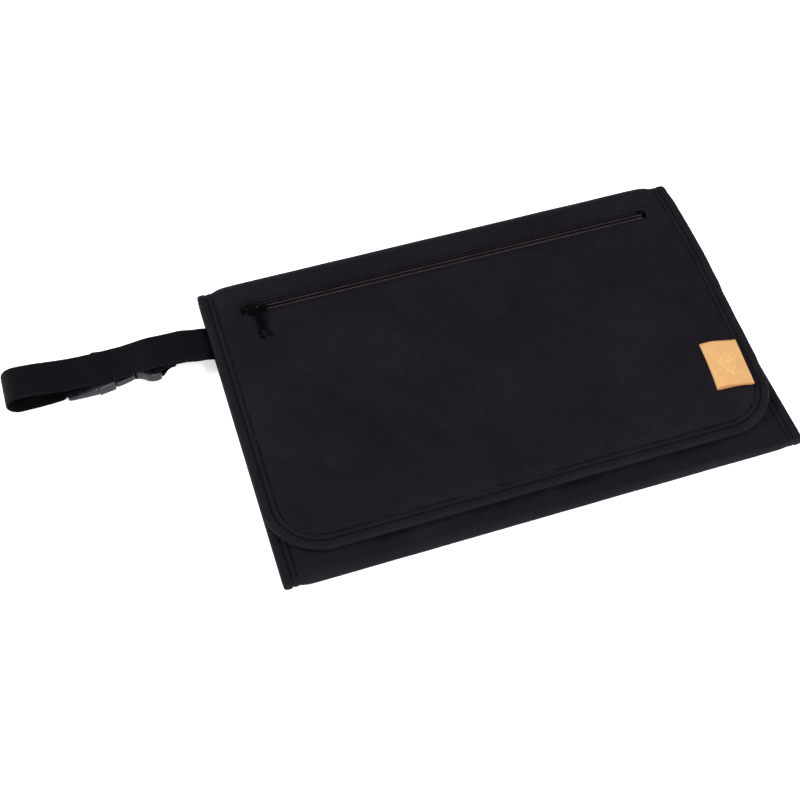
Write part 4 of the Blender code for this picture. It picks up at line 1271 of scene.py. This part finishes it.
def zip_stops():
    """A crimp at the left end, and the turned-in end of the tape at the right, made near-black as painted
    shade.
    """
    crimp = solid_box("zip_stop_left_crimp", STOP_LEFT[0], STOP_LEFT[1], 0.35 * MM, MATS["seam"], 3)
    own(crimp, "flap", "zip_coil", "zip_stop_left")
    x1, tape_top = STOP_RIGHT[0].x - 0.6 * MM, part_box("zip_tape_upper")[1].z
    # The turned-in end is near-black: the tape's own end, darkened as painted shade at the window's right
    # end.
    tuck = solid_box("zip_stop_right_shaded_tuck", (x1 - 3.4 * MM, ZIP_HIGH[1].y + 0.2 * MM, tape_top - 0.2 * MM),
                     (x1, ZIP_Y + ZIP_WINDOW_HIGH - 0.1 * MM, tape_top + 0.35 * MM), 0.15 * MM,
                     MATS["seam"], 2)
    own(tuck, "flap", "zip_coil", "zip_stop_right")


def zip_topstitch():
    """Stitching round the zip window."""
    x0, x1 = STOP_LEFT[0].x - 2.2 * MM, STOP_RIGHT[0].x + 2.4 * MM
    y0, y1 = ZIP_Y - ZIP_WINDOW_LOW - 1.9 * MM, ZIP_Y + ZIP_WINDOW_HIGH + 2.0 * MM
    corners = [(x0, y0), (x1, y0), (x1, y1), (x0, y1), (x0, y0)]
    for k in range(4):
        (ax, ay), (bx, by) = corners[k], corners[k + 1]
        count = max(2, round(math.hypot(bx - ax, by - ay) / STITCH_PITCH))
        line = []
        for i in range(count + 1):
            x, y = mix(ax, bx, i / count), mix(ay, by, i / count)
            z = FLAP_FACE(x, y) + 0.10 * MM
            line.append(flap_drape((x, y, z)))
        row = stitch_row(f"zip_topstitch_{k}", line, [(0, 0, 1)] * len(line), 2.4 * MM, 0.22 * MM,
                         MATS["thread"])
        own(row, "flap", "fabric")


def zip_slider():
    """Die-cast slider: waisted wings, a raised plate on the upper one, a neck and a bridge."""
    low, high = SLIDER
    mid_x = (low.x + high.x) / 2
    half_w = (high.y - low.y) / 2
    coil_low, coil_top = ZIP_LOW[0].z, ZIP_LOW[1].z
    wing_t = 0.7 * MM

    def wing(scale):
        points = []
        for share, width in ((-1.0, 0.72), (-0.86, 0.97), (-0.4, 1.0), (0.05, 0.96),
                             (0.35, 0.74), (0.86, 0.68), (1.0, 0.50)):
            points.append((mid_x + share * (high.x - low.x) / 2 * scale, -width * half_w * scale))
        return [(x, ZIP_Y + y) for x, y in points] + [(x, ZIP_Y - y) for x, y in reversed(points)]

    body = prism("zip_slider_body", wing(1.0), coil_low - 0.3 * MM - wing_t, coil_low - 0.3 * MM, "Z",
                 0.2 * MM, MATS["metal"])
    top_low = coil_top + 0.3 * MM
    top = prism("wing", wing(1.0), top_low, top_low + wing_t, "Z", 0.25 * MM)
    raised = prism("raised", wing(0.72), top_low + wing_t - 0.15 * MM, top_low + wing_t + 0.3 * MM, "Z",
                   0.2 * MM)
    neck = solid_box("neck", (low.x + 1.0 * MM, ZIP_Y - 0.2 * MM, coil_low - 0.6 * MM),
                     (low.x + 5.0 * MM, ZIP_Y + 0.2 * MM, top_low + 0.3 * MM), 0.0)
    arch = []
    bar_z = PULLER[1].z - 1.75 * MM
    half_t = 0.5 * MM
    for i in range(15):
        angle = math.pi * i / 14
        flat = math.copysign(abs(math.cos(angle)) ** 0.55, math.cos(angle))
        arch.append(Vector((mid_x + 3.2 * MM * flat, ZIP_Y,
                            top_low + wing_t - 0.2 * MM
                            + (bar_z - top_low - wing_t + 0.2 * MM) * math.sin(angle) ** 0.55)))
    sections = []
    for i, point in enumerate(arch):
        along = (arch[min(i + 1, 14)] - arch[max(i - 1, 0)]).normalized()
        side = Vector((0.0, 1.0, 0.0))
        out = along.cross(side).normalized()
        ring = []
        for k in range(10):
            angle = 2 * math.pi * k / 10
            ring.append(point + side * 1.1 * half_t * math.cos(angle) + out * 0.9 * half_t * math.sin(angle))
        sections.append(ring)
    bridge = sweep("bridge", sections, [[(0, 0)] * 10] * 15, None)
    combine(body, [top, raised, neck, bridge], "UNION")
    own(body, "slider", "slider_metal", "zip_slider")


def zip_puller():
    """Eye, tapered tab and a ring at its end."""
    low, high = PULLER
    mid_x = (low.x + high.x) / 2
    bar_z = high.z - 1.75 * MM
    ring_r = (high.x - low.x) / 2
    ring_y = low.y + ring_r
    rest_z = FLAP_TOP + 0.45 * MM
    sides = 24
    eye = [(ZIP_Y + 1.75 * MM * math.cos(2 * math.pi * i / sides),
            bar_z + 1.75 * MM * math.sin(2 * math.pi * i / sides))
           for i in range(sides)]
    body = prism("zip_puller_body", eye, mid_x - 1.1 * MM, mid_x + 1.1 * MM, "X", 0.25 * MM, MATS["metal"])
    tab = []
    half_t = 0.62 * MM
    stations = ((ZIP_Y - 1.2 * MM, bar_z, 1.7), (ZIP_Y - 3.4 * MM, bar_z, 1.9),
                (ZIP_Y - 5.4 * MM, bar_z - 0.2 * MM, 2.3), (ZIP_Y - 9.0 * MM, mix(bar_z, rest_z, 0.40), 2.5),
                (ring_y + 3.2 * MM, rest_z + 0.75 * MM, 2.2), (ring_y + 2.6 * MM, rest_z + 0.65 * MM, 2.0))
    for y, z, half_w in stations:
        row = []
        for k in range(12):
            angle = 2 * math.pi * k / 12
            u = math.copysign(abs(math.cos(angle)) ** 0.45, math.cos(angle))
            v = math.copysign(abs(math.sin(angle)) ** 0.45, math.sin(angle))
            row.append(Vector((mid_x + half_w * MM * u, y, z + half_t * v)))
        tab.append(row)
    tab_piece = sweep("tab", tab, [[(0, 0)] * 12] * len(tab), None)
    bm = bmesh.new()
    tube = 1.05 * MM
    for i in range(32):
        around = 2 * math.pi * i / 32
        for k in range(12):
            angle = 2 * math.pi * k / 12
            r = ring_r - tube + tube * math.cos(angle)
            bm.verts.new((mid_x + r * math.cos(around), ring_y + r * math.sin(around),
                          rest_z + 0.65 * MM + 0.62 * tube * math.sin(angle)))
    bm.verts.ensure_lookup_table()
    for i in range(32):
        for k in range(12):
            m, p = (i + 1) % 32, (k + 1) % 12
            bm.faces.new((bm.verts[i * 12 + k], bm.verts[m * 12 + k], bm.verts[m * 12 + p],
                          bm.verts[i * 12 + p]))
    bmesh.ops.recalc_face_normals(bm, faces=bm.faces)
    mesh = bpy.data.meshes.new("ring")
    bm.to_mesh(mesh)
    bm.free()
    ring = link("ring", mesh)
    combine(body, [tab_piece, ring], "UNION")
    hole = [(ZIP_Y + 0.9 * MM * math.cos(2 * math.pi * i / sides),
             bar_z + 0.9 * MM * math.sin(2 * math.pi * i / sides))
            for i in range(sides)]
    combine(body, [prism("hole", hole, mid_x - 3 * MM, mid_x + 3 * MM, "X")], "DIFFERENCE")
    own(body, "puller", "slider_metal", "zip_puller")


# ---------------------------------------------------------------- leather tab
TAB_CORNERS = ((0.1285, -0.0649), (0.1533, -0.0670), (0.1565, -0.0314), (0.1322, -0.0289))


def leather_tab():
    """A folded leather strip with a plain debossed lozenge, sewn in under the binding."""
    low, high = LABEL
    width = high.x - low.x
    fold_r = (high.z - low.z) / 2 - 0.1 * MM
    thickness = 0.8 * MM
    base = low.z - 0.15 * MM
    arch = 8.0 * MM
    (ax, ay), (bx, by), (cx, cy), (dx, dy) = TAB_CORNERS
    rows = steps_between(0.0, 1.0, 0.013)

    def mark(share_x, share_y):
        """Depth of two nested lozenge grooves, from 0 to 1."""
        size = abs(share_x - 0.52) / 0.31 + abs(share_y - 0.5) / 0.29
        return max(math.exp(-((size - radius) / 0.055) ** 2) for radius in (1.0, 0.55))

    # The section starts under the fold, goes round it and runs down to the sewn edge.
    profile = []
    for i in range(11):
        angle = math.radians(270 - 180 * i / 10)
        profile.append((fold_r + fold_r * math.cos(angle), fold_r + fold_r * math.sin(angle), 0.0))
    for x in steps_between(0.0, width - fold_r, 0.42 * MM)[1:]:
        share = x / (width - fold_r)
        drop = smooth((share - 0.25) * 1.4) * (2 * fold_r + 0.9 * MM - thickness - 0.1 * MM)
        rise = 0.9 * MM * math.sin(math.pi / 2 * clamp(x / arch))
        profile.append((fold_r + x, 2 * fold_r + rise - drop, 1.0))
    sections, uv_rows = [], []
    for share_y in rows:
        swell = 0.15 * MM * math.sin(math.pi * share_y)
        bow = 0.5 * MM * math.sin(math.pi * share_y)
        section, uvs = [], []
        for x, z, upper in profile + [(width, 0.0, 0.0)]:
            share_x = x / width
            dent = 0.24 * MM * mark(share_x, share_y) * upper
            soft = 0.08 * MM * ripple(x, share_y * 0.035, 6 * MM, 4.4) * upper
            left_x, left_y = mix(ax, dx, share_y) + bow * (1 - share_x), mix(ay, dy, share_y)
            right_x, right_y = mix(bx, cx, share_y), mix(by, cy, share_y)
            px, py = mix(left_x, right_x, share_x), mix(left_y, right_y, share_x)
            droop = flap_drape((px, py, 0.0)).z
            under = 0.6 * flap_relief(px, py)
            section.append(Vector((px, py, base + z - dent + soft + swell * upper + droop + under)))
            uvs.append((share_x, share_y))
        sections.append(section)
        uv_rows.append(uvs)
    tab = sweep("leather_tab", sections, uv_rows, MATS["leather"], smooth_deg=60)
    own(tab, "flap", "leather", "leather_label")


# ---------------------------------------------------------------- closure patches
def closure():
    """Hook patch under the flap's free edge and loop patch on the lower panel below it."""
    for node, body, top, drape in (
            ("closure_hook_patch", "flap", lambda x, y: FACES["under"](x, y) + 0.1 * MM, flap_drape),
            ("closure_loop_patch", "lower", lambda x, y: FACES["lower"](x, y) + 0.4 * MM, base_drape)):
        low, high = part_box(node)
        patch = pad_sheet(f"{node}_pile", low, high, PATCH_T, top, drape, MATS["hook_loop"], 0.4 * MM)
        own(patch, body, "hook_loop", node)


# ---------------------------------------------------------------- strap
def webbing(name, line, offset=0.0, seed=0.0, pitch=1.6 * MM):
    """Webbing with rounded selvedges along a smooth line in X and Z."""
    points = even_points([Vector((x, 0.0, z)) for x, z in line], pitch)
    width = UPPER_RUN[1].y - UPPER_RUN[0].y
    half_t = (LOWER_RUN[1].z - LOWER_RUN[0].z) / 2
    across = []
    for share in (-1.0, -0.97, -0.9, -0.6, -0.2, 0.2, 0.6, 0.9, 0.97, 1.0):
        fat = half_t if abs(share) < 0.95 else half_t * (0.72 if abs(share) < 0.99 else 0.35)
        across.append((share * width / 2, fat))
    sections, uv_rows = [], []
    travelled = offset
    for i, point in enumerate(points):
        if i:
            travelled += (point - points[i - 1]).length
        along = (points[min(i + 1, len(points) - 1)] - points[max(i - 1, 0)]).normalized()
        up = Vector((-along.z, 0.0, along.x))
        y_mid = strap_middle(point.x)
        bulk = 1 + 0.05 * ripple(travelled, 0.0, 3 * MM, seed)
        section, uvs = [], []
        for y, fat in across:
            section.append(point + Vector((0.0, y_mid + y * bulk ** 0.2, 0.0)) + up * fat)
            uvs.append((travelled, y + width / 2))
        for y, fat in reversed(across):
            section.append(point + Vector((0.0, y_mid + y * bulk ** 0.2, 0.0)) - up * fat)
            uvs.append((travelled, y + width / 2))
        sections.append(section)
        uv_rows.append(uvs)
    return sweep(name, sections, uv_rows, MATS["webbing"], smooth_deg=60)


def spline(points, spacing=1.0 * MM):
    """A smooth line through given points, by Catmull-Rom segments."""
    line = []
    padded = [points[0]] + list(points) + [points[-1]]
    for a, b, c, d in zip(padded, padded[1:], padded[2:], padded[3:]):
        count = max(2, int(math.hypot(c[0] - b[0], c[1] - b[1]) / spacing))
        for i in range(count):
            t = i / count
            line.append(tuple(
                0.5 * (2 * b[k] + (c[k] - a[k]) * t + (2 * a[k] - 5 * b[k] + 4 * c[k] - d[k]) * t * t
                       + (3 * b[k] - a[k] - 3 * c[k] + d[k]) * t ** 3) for k in (0, 1)))
    line.append(points[-1])
    return line


def strap_middle(x):
    """The strap's sideways drift along its length."""
    y_mid = (UPPER_RUN[0].y + UPPER_RUN[1].y) / 2
    return y_mid + 0.3 * MM * ripple(x, 0.0, 45 * MM, 2.0)


def folded_strap(piece, line, a, b, start, end, *nodes):
    """Bake one length of webbing in place, hide the CAD nodes it stands for and return its length."""
    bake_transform(piece)
    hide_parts(*nodes)
    run = sum(math.dist(p, q) for p, q in zip(line, line[1:]))
    return run


def strap():
    thick = LOWER_RUN[1].z - LOWER_RUN[0].z
    y_mid = strap_middle(0.0)
    hinge_x = JOINTS["strap_fold"]["pos_m"][0]
    z_long = ANCHOR_LONG[1].z - thick / 2
    z_short = ANCHOR_SHORT[1].z - thick / 2
    sewn_long = ANCHOR_LONG[0].z + thick / 2
    sewn_short = ANCHOR_SHORT[0].z + thick / 2
    z_low = (LOWER_RUN[0].z + LOWER_RUN[1].z) / 2
    z_top = END_LOOP[1].z - thick / 2
    turn_x = LOWER_RUN[0].x
    over = FEMALE[1].z + thick / 2 + 0.6 * MM
    x1 = FEMALE[1].x
    crest_x = x1 - 4.0 * MM
    upper = spline([
        (ANCHOR_LONG[1].x, sewn_long), (ANCHOR_LONG[1].x - 5 * MM, sewn_long + 0.2 * MM),
        (ANCHOR_LONG[0].x, z_long), (hinge_x - 3 * MM, z_long + 0.4 * MM),
        (hinge_x - 12 * MM, 11.3 * MM), (hinge_x - 21 * MM, 11.5 * MM), (x1 + 5.5 * MM, 11.6 * MM),
        (x1 + 1.5 * MM, 11.8 * MM), (crest_x + 2 * MM, 12.0 * MM), (crest_x - 3 * MM, 11.8 * MM),
        (crest_x - 7.5 * MM, 11.2 * MM), (crest_x - 13 * MM, over + 0.6 * MM), (crest_x - 20 * MM, over),
        (FEMALE[0].x - 3 * MM, over + 0.1 * MM),
        (MALE[0].x + 6 * MM, over + 0.6 * MM), (MALE[0].x - 6 * MM, over + 2.2 * MM),
        (turn_x + 12 * MM, z_top - 0.9 * MM), (turn_x + 3 * MM, z_top - 0.04 * MM), (turn_x, z_top)])
    piece = webbing("strap_long_end", upper, seed=1.0)
    run = folded_strap(piece, upper, "back", "strap", (hinge_x + 5 * MM, y_mid, z_long),
                       (hinge_x - 6 * MM, y_mid, z_long), "strap_upper_run", "strap_anchor_long")

    radius = (z_top - z_low) / 2
    turn = []
    for i in range(29):
        angle = math.pi * i / 28
        turn.append((turn_x - radius * (1.0 + 0.08 * math.sin(angle)) * math.sin(angle),
                     (z_top + z_low) / 2 + radius * math.cos(angle)))
    piece = webbing("strap_turn", turn, offset=run, seed=1.0)
    turned = folded_strap(piece, turn, "strap", "male", (turn_x, y_mid, z_top - 1 * MM),
                          (turn_x, y_mid, z_low + 1 * MM), "strap_end_loop")

    m0 = MALE[0].x
    lower = spline([(turn_x, z_low), (turn_x + 14 * MM, z_low), (m0 - 6 * MM, z_low + 0.5 * MM),
                    (m0 - 1.6 * MM, z_low + 1.6 * MM), (m0 + 0.2 * MM, 4.7 * MM), (m0 + 3.0 * MM, 5.7 * MM),
                    (m0 + 7.5 * MM, 6.6 * MM), (m0 + 10.2 * MM, 6.9 * MM), (m0 + 11.4 * MM, 5.2 * MM),
                    (m0 + 11.5 * MM, 3.0 * MM), (m0 + 11.5 * MM, 1.6 * MM)])
    piece = webbing("strap_ladder_end", lower, offset=run + turned, seed=1.0)
    own(piece, "male", "webbing", "strap_lower_run")

    wrap_top = BAR_TOP + 0.15 * MM + thick / 2
    wrap_low = BAR_LOW - 0.15 * MM - thick / 2
    down_x = x1 - BAR_LEN - 0.15 * MM - thick / 2
    short = spline([(ANCHOR_SHORT[1].x, sewn_short), (ANCHOR_SHORT[1].x - 5 * MM, sewn_short + 0.2 * MM),
                    (ANCHOR_SHORT[0].x, z_short), (hinge_x - 6 * MM, z_short + 1.0 * MM),
                    (hinge_x - 14 * MM, 9.8 * MM), (x1 + 7.0 * MM, 9.8 * MM), (x1 + 4.5 * MM, 9.5 * MM),
                    (x1 + 1.5 * MM, 8.0 * MM), (x1 - 0.8 * MM, wrap_top + 0.1 * MM),
                    (down_x + 1.6 * MM, wrap_top)])
    short += [(down_x + 1.3 * MM + 1.3 * MM * math.cos(math.radians(90 + 15 * i)),
               wrap_top - 1.3 * MM + 1.3 * MM * math.sin(math.radians(90 + 15 * i))) for i in range(7)]
    short += [(down_x + 1.3 * MM + 1.3 * MM * math.cos(math.radians(180 + 15 * i)),
               wrap_low + 1.3 * MM + 1.3 * MM * math.sin(math.radians(180 + 15 * i))) for i in range(7)]
    short += spline([(down_x + 1.8 * MM, wrap_low), (x1 + 0.8 * MM, wrap_low + 0.2 * MM),
                     (x1 + 3 * MM, 4.6 * MM), (x1 + 6 * MM, 7.6 * MM), (x1 + 10 * MM, 8.2 * MM)])
    piece = webbing("strap_short_end", short, seed=3.0, pitch=0.7 * MM)
    folded_strap(piece, short, "back", "strap", (hinge_x + 5 * MM, y_mid, z_short),
                 (hinge_x - 6 * MM, y_mid, z_short), "strap_short_webbing", "strap_anchor_short")


# ---------------------------------------------------------------- buckle
def loft(name, stations, exponent=0.35, sides=32, mat=None):
    """Rounded box along X: each station gives x, half-width, low z and high z."""
    y_mid = (FEMALE[0].y + FEMALE[1].y) / 2
    sections = []
    for x, half_w, z0, z1 in stations:
        row = []
        for k in range(sides):
            angle = 2 * math.pi * k / sides
            u = math.copysign(abs(math.cos(angle)) ** exponent, math.cos(angle))
            v = math.copysign(abs(math.sin(angle)) ** exponent, math.sin(angle))
            row.append(Vector((x, y_mid + half_w * u, (z0 + z1) / 2 + (z1 - z0) / 2 * v)))
        sections.append(row)
    return sweep(name, sections, [[(0, 0)] * sides] * len(sections), mat)


BAR_TOP, BAR_LOW, BAR_LEN = 6.4 * MM, 2.1 * MM, 4.2 * MM
SLOT_HALF = 12.9 * MM
WALL = 1.6 * MM
ARM = 2.6 * MM
MOUTH, THROAT = 13.7 * MM, 12.1 * MM        # inner half-width of the sleeve's mouth and its end


def plan_prism(name, outline, z0, z1, bevel=0.0, mat=None):
    """Outline given as distance along X and half-width, mirrored about the strap's middle."""
    y_mid = (FEMALE[0].y + FEMALE[1].y) / 2
    near = [(x, y_mid - h) for x, h in outline]
    far = [(x, y_mid + h) for x, h in reversed(outline)]
    return prism(name, near + far, z0, z1, "Z", bevel, mat, 4)


def curve_through(points, count):
    """A smooth run of points through a few given ones."""
    line = spline(points, 0.5 * MM)
    return [line[round(i * (len(line) - 1) / count)] for i in range(count + 1)]


def buckle():
    y_mid = (FEMALE[0].y + FEMALE[1].y) / 2
    half = (FEMALE[1].y - FEMALE[0].y) / 2
    z0, z1 = FEMALE[0].z, FEMALE[1].z
    x0, x1 = FEMALE[0].x, FEMALE[1].x
    mouth_end, waist_end = x0 + 11.0 * MM, x0 + 25.1 * MM
    waist = curve_through([
        (mouth_end + 0.4 * MM, 11.3 * MM), (mouth_end + 3.5 * MM, 9.4 * MM), (waist_end - 2 * MM, 9.3 * MM),
        (waist_end + 3.0 * MM, 10.6 * MM), (waist_end + 6.5 * MM, half - 1.9 * MM),
        (waist_end + 9.0 * MM, half - 0.7 * MM)], 18)
    outline = [(x0, half), (mouth_end, half - 1.7 * MM)] + waist + [
        (x1 - 3.0 * MM, half - 0.5 * MM), (x1 - 1.2 * MM, half - 1.0 * MM), (x1, half - 2.1 * MM)]
    female = plan_prism("buckle_sleeve", outline, z0, z1, 1.5 * MM, MATS["plastic"])
    for v in female.data.vertices:
        # The sleeve's upper face falls away to the rear.
        fall = smooth((v.co.x - (x1 - 9 * MM)) / (9 * MM))
        high = clamp((v.co.z - z0) / (z1 - z0))
        v.co.z -= 1.9 * MM * fall * high
    cavity = plan_prism("cavity", [(x0 - 1 * MM, MOUTH + 0.1 * MM), (mouth_end, THROAT),
                                   (waist_end + 0.3 * MM, THROAT)],
                        z0 + WALL, z1 - WALL)
    bar_x = x1 - BAR_LEN
    slot = plan_prism("slot", [(bar_x - 1.5 * MM, SLOT_HALF), (bar_x, SLOT_HALF)], -5 * MM, 20 * MM)
    over = plan_prism("over", [(bar_x - 0.5 * MM, SLOT_HALF), (x1 + 1 * MM, SLOT_HALF)], BAR_TOP, 20 * MM)
    under = plan_prism("under", [(bar_x - 0.5 * MM, SLOT_HALF), (x1 + 1 * MM, SLOT_HALF)], -5 * MM, BAR_LOW)
    combine(female, [cavity, slot, over, under], "DIFFERENCE")
    round_edges(female, 0.2 * MM, 2, 50)
    own(female, "strap", "buckle_plastic", "buckle_female")

    m0, m1 = MALE[0].x, x0 - 0.05 * MM
    male = loft("buckle_plug", [
        (m0, half - 2.2 * MM, 1.2 * MM, 3.4 * MM), (m0 + 0.5 * MM, half - 1.5 * MM, 0.6 * MM, 4.1 * MM),
        (m0 + 1.6 * MM, half - 1.1 * MM, 0.3 * MM, 4.7 * MM), (m0 + 7.0 * MM, half - 0.8 * MM, z0, 5.8 * MM),
        (m0 + 12.0 * MM, half - 0.5 * MM, z0, 7.1 * MM), (m1 - 3.2 * MM, half - 0.4 * MM, z0, z1 - 0.2 * MM),
        (m1 - 0.7 * MM, half - 0.3 * MM, z0, z1 - 0.1 * MM),
        (m1, half - 0.5 * MM, z0 + 0.3 * MM, z1 - 0.4 * MM)],
        0.30, 40, MATS["plastic"])
    tongue = solid_box("tongue", (m1 - 1 * MM, y_mid - 3 * MM, 2.8 * MM),
                       (MALE[1].x, y_mid + 3 * MM, 5.8 * MM), 0.7 * MM)
    combine(male, [tongue], "UNION")
    slots = [plan_prism("slot", [(m0 + a * MM, SLOT_HALF), (m0 + (a + 3.0) * MM, SLOT_HALF)],
                        1.1 * MM, 20 * MM)
             for a in (3.4, 9.2)]
    combine(male, slots, "DIFFERENCE")
    round_edges(male, 0.2 * MM, 2, 50)
    own(male, "male", "buckle_plastic", "buckle_male")

    play = 0.4 * MM
    catch_x = mouth_end + 0.6 * MM
    pad = curve_through([
        (catch_x + 0.8 * MM, THROAT + 1.0 * MM), (catch_x + 5 * MM, THROAT + 0.3 * MM),
        (waist_end - 3.5 * MM, THROAT - 1.0 * MM), (waist_end - 1.2 * MM, THROAT - 2.2 * MM)], 12)
    arm = [(m1 + 0.3 * MM, MOUTH - play - ARM), (m1 + 0.3 * MM, MOUTH - play),
           (mouth_end - play, THROAT - play),
           (catch_x, THROAT - play), (catch_x + 0.1 * MM, THROAT + 0.8 * MM)] + pad + [
        (waist_end - 0.7 * MM, THROAT - 3.2 * MM), (waist_end - 1.0 * MM, THROAT - 4.4 * MM),
        (mouth_end, THROAT - play - ARM)]
    for side, sign in (("near", -1), ("far", 1)):
        outline = [(x, y_mid + sign * v) for x, v in arm]
        prong = prism(f"buckle_arm_{side}", outline, PRONG[0].z, PRONG[1].z, "Z", 0.35 * MM,
                      MATS["plastic"], 3)
        own(prong, f"prong_{side}", "buckle_plastic", f"buckle_prong_{side}")


# ---------------------------------------------------------------- stage, light and camera
CAMERA_AZIMUTH = -17.49
CAMERA_ELEVATION = 54.83
CAMERA_DISTANCE = 0.9256
CAMERA_TARGET = Vector((-0.0609, -0.0022, 0.0))
CAMERA_LENS = 65.25


def white_floor():
    n = Nodes("studio_floor")
    grain = n.noise(n.object_coords(), 40.0, 2.0)
    tint = n.ramp(grain, [(0.3, (0.90, 0.90, 0.90)), (0.7, (0.92, 0.92, 0.92))])
    n.set(rough=0.9, specular=0.1)
    n.shader.inputs["Emission Color"].default_value = (1.0, 1.0, 1.0, 1.0)
    n.shader.inputs["Emission Strength"].default_value = 0.55
    mat = n.finish(tint)
    half = 4.0
    floor = mesh_object("floor", [(-half, -half, -0.2 * MM), (half, -half, -0.2 * MM),
                                  (half, half, -0.2 * MM),
                                  (-half, half, -0.2 * MM)], [(0, 1, 2, 3)], None, mat)


def area_light(name, place, size, power):
    data = bpy.data.lights.new(name, "AREA")
    data.shape = "DISK"
    data.size = size
    data.energy = power
    light = link(name, data)
    light.location = place
    light.rotation_euler = (Vector((-0.05, 0.0, 0.0)) - Vector(place)).to_track_quat("-Z", "Y").to_euler()


def studio():
    white_floor()
    world = bpy.context.scene.world or bpy.data.worlds.new("studio")
    bpy.context.scene.world = world
    world.use_nodes = True
    background = world.node_tree.nodes["Background"]
    background.inputs["Color"].default_value = (1.0, 1.0, 1.0, 1.0)
    background.inputs["Strength"].default_value = 0.42
    area_light("key_light", (-2.30, 1.20, 1.60), 1.1, 98.0)
    area_light("fill_light", (1.1, -0.7, 1.4), 1.2, 28.0)
    area_light("front_light", (0.15, -1.60, 0.42), 0.8, 32.0)
    azimuth, elevation = math.radians(CAMERA_AZIMUTH), math.radians(CAMERA_ELEVATION)
    looking = Vector((-math.sin(azimuth) * math.cos(elevation), math.cos(azimuth) * math.cos(elevation),
                      -math.sin(elevation)))
    data = bpy.data.cameras.new("camera")
    data.lens = CAMERA_LENS
    camera = link("camera", data)
    camera.location = CAMERA_TARGET - looking * CAMERA_DISTANCE
    camera.rotation_euler = looking.to_track_quat("-Z", "Y").to_euler()
    bpy.context.scene.camera = camera
    bpy.context.scene.view_settings.view_transform = "Standard"


# ---------------------------------------------------------------- the whole scene
FACES = panels()
FLAP_FACE = FACES["flap"]
bindings()
folds()
zip_tapes()
zip_coils()
zip_stops()
zip_topstitch()
zip_slider()
zip_puller()
leather_tab()
closure()
strap()
buckle()
studio()
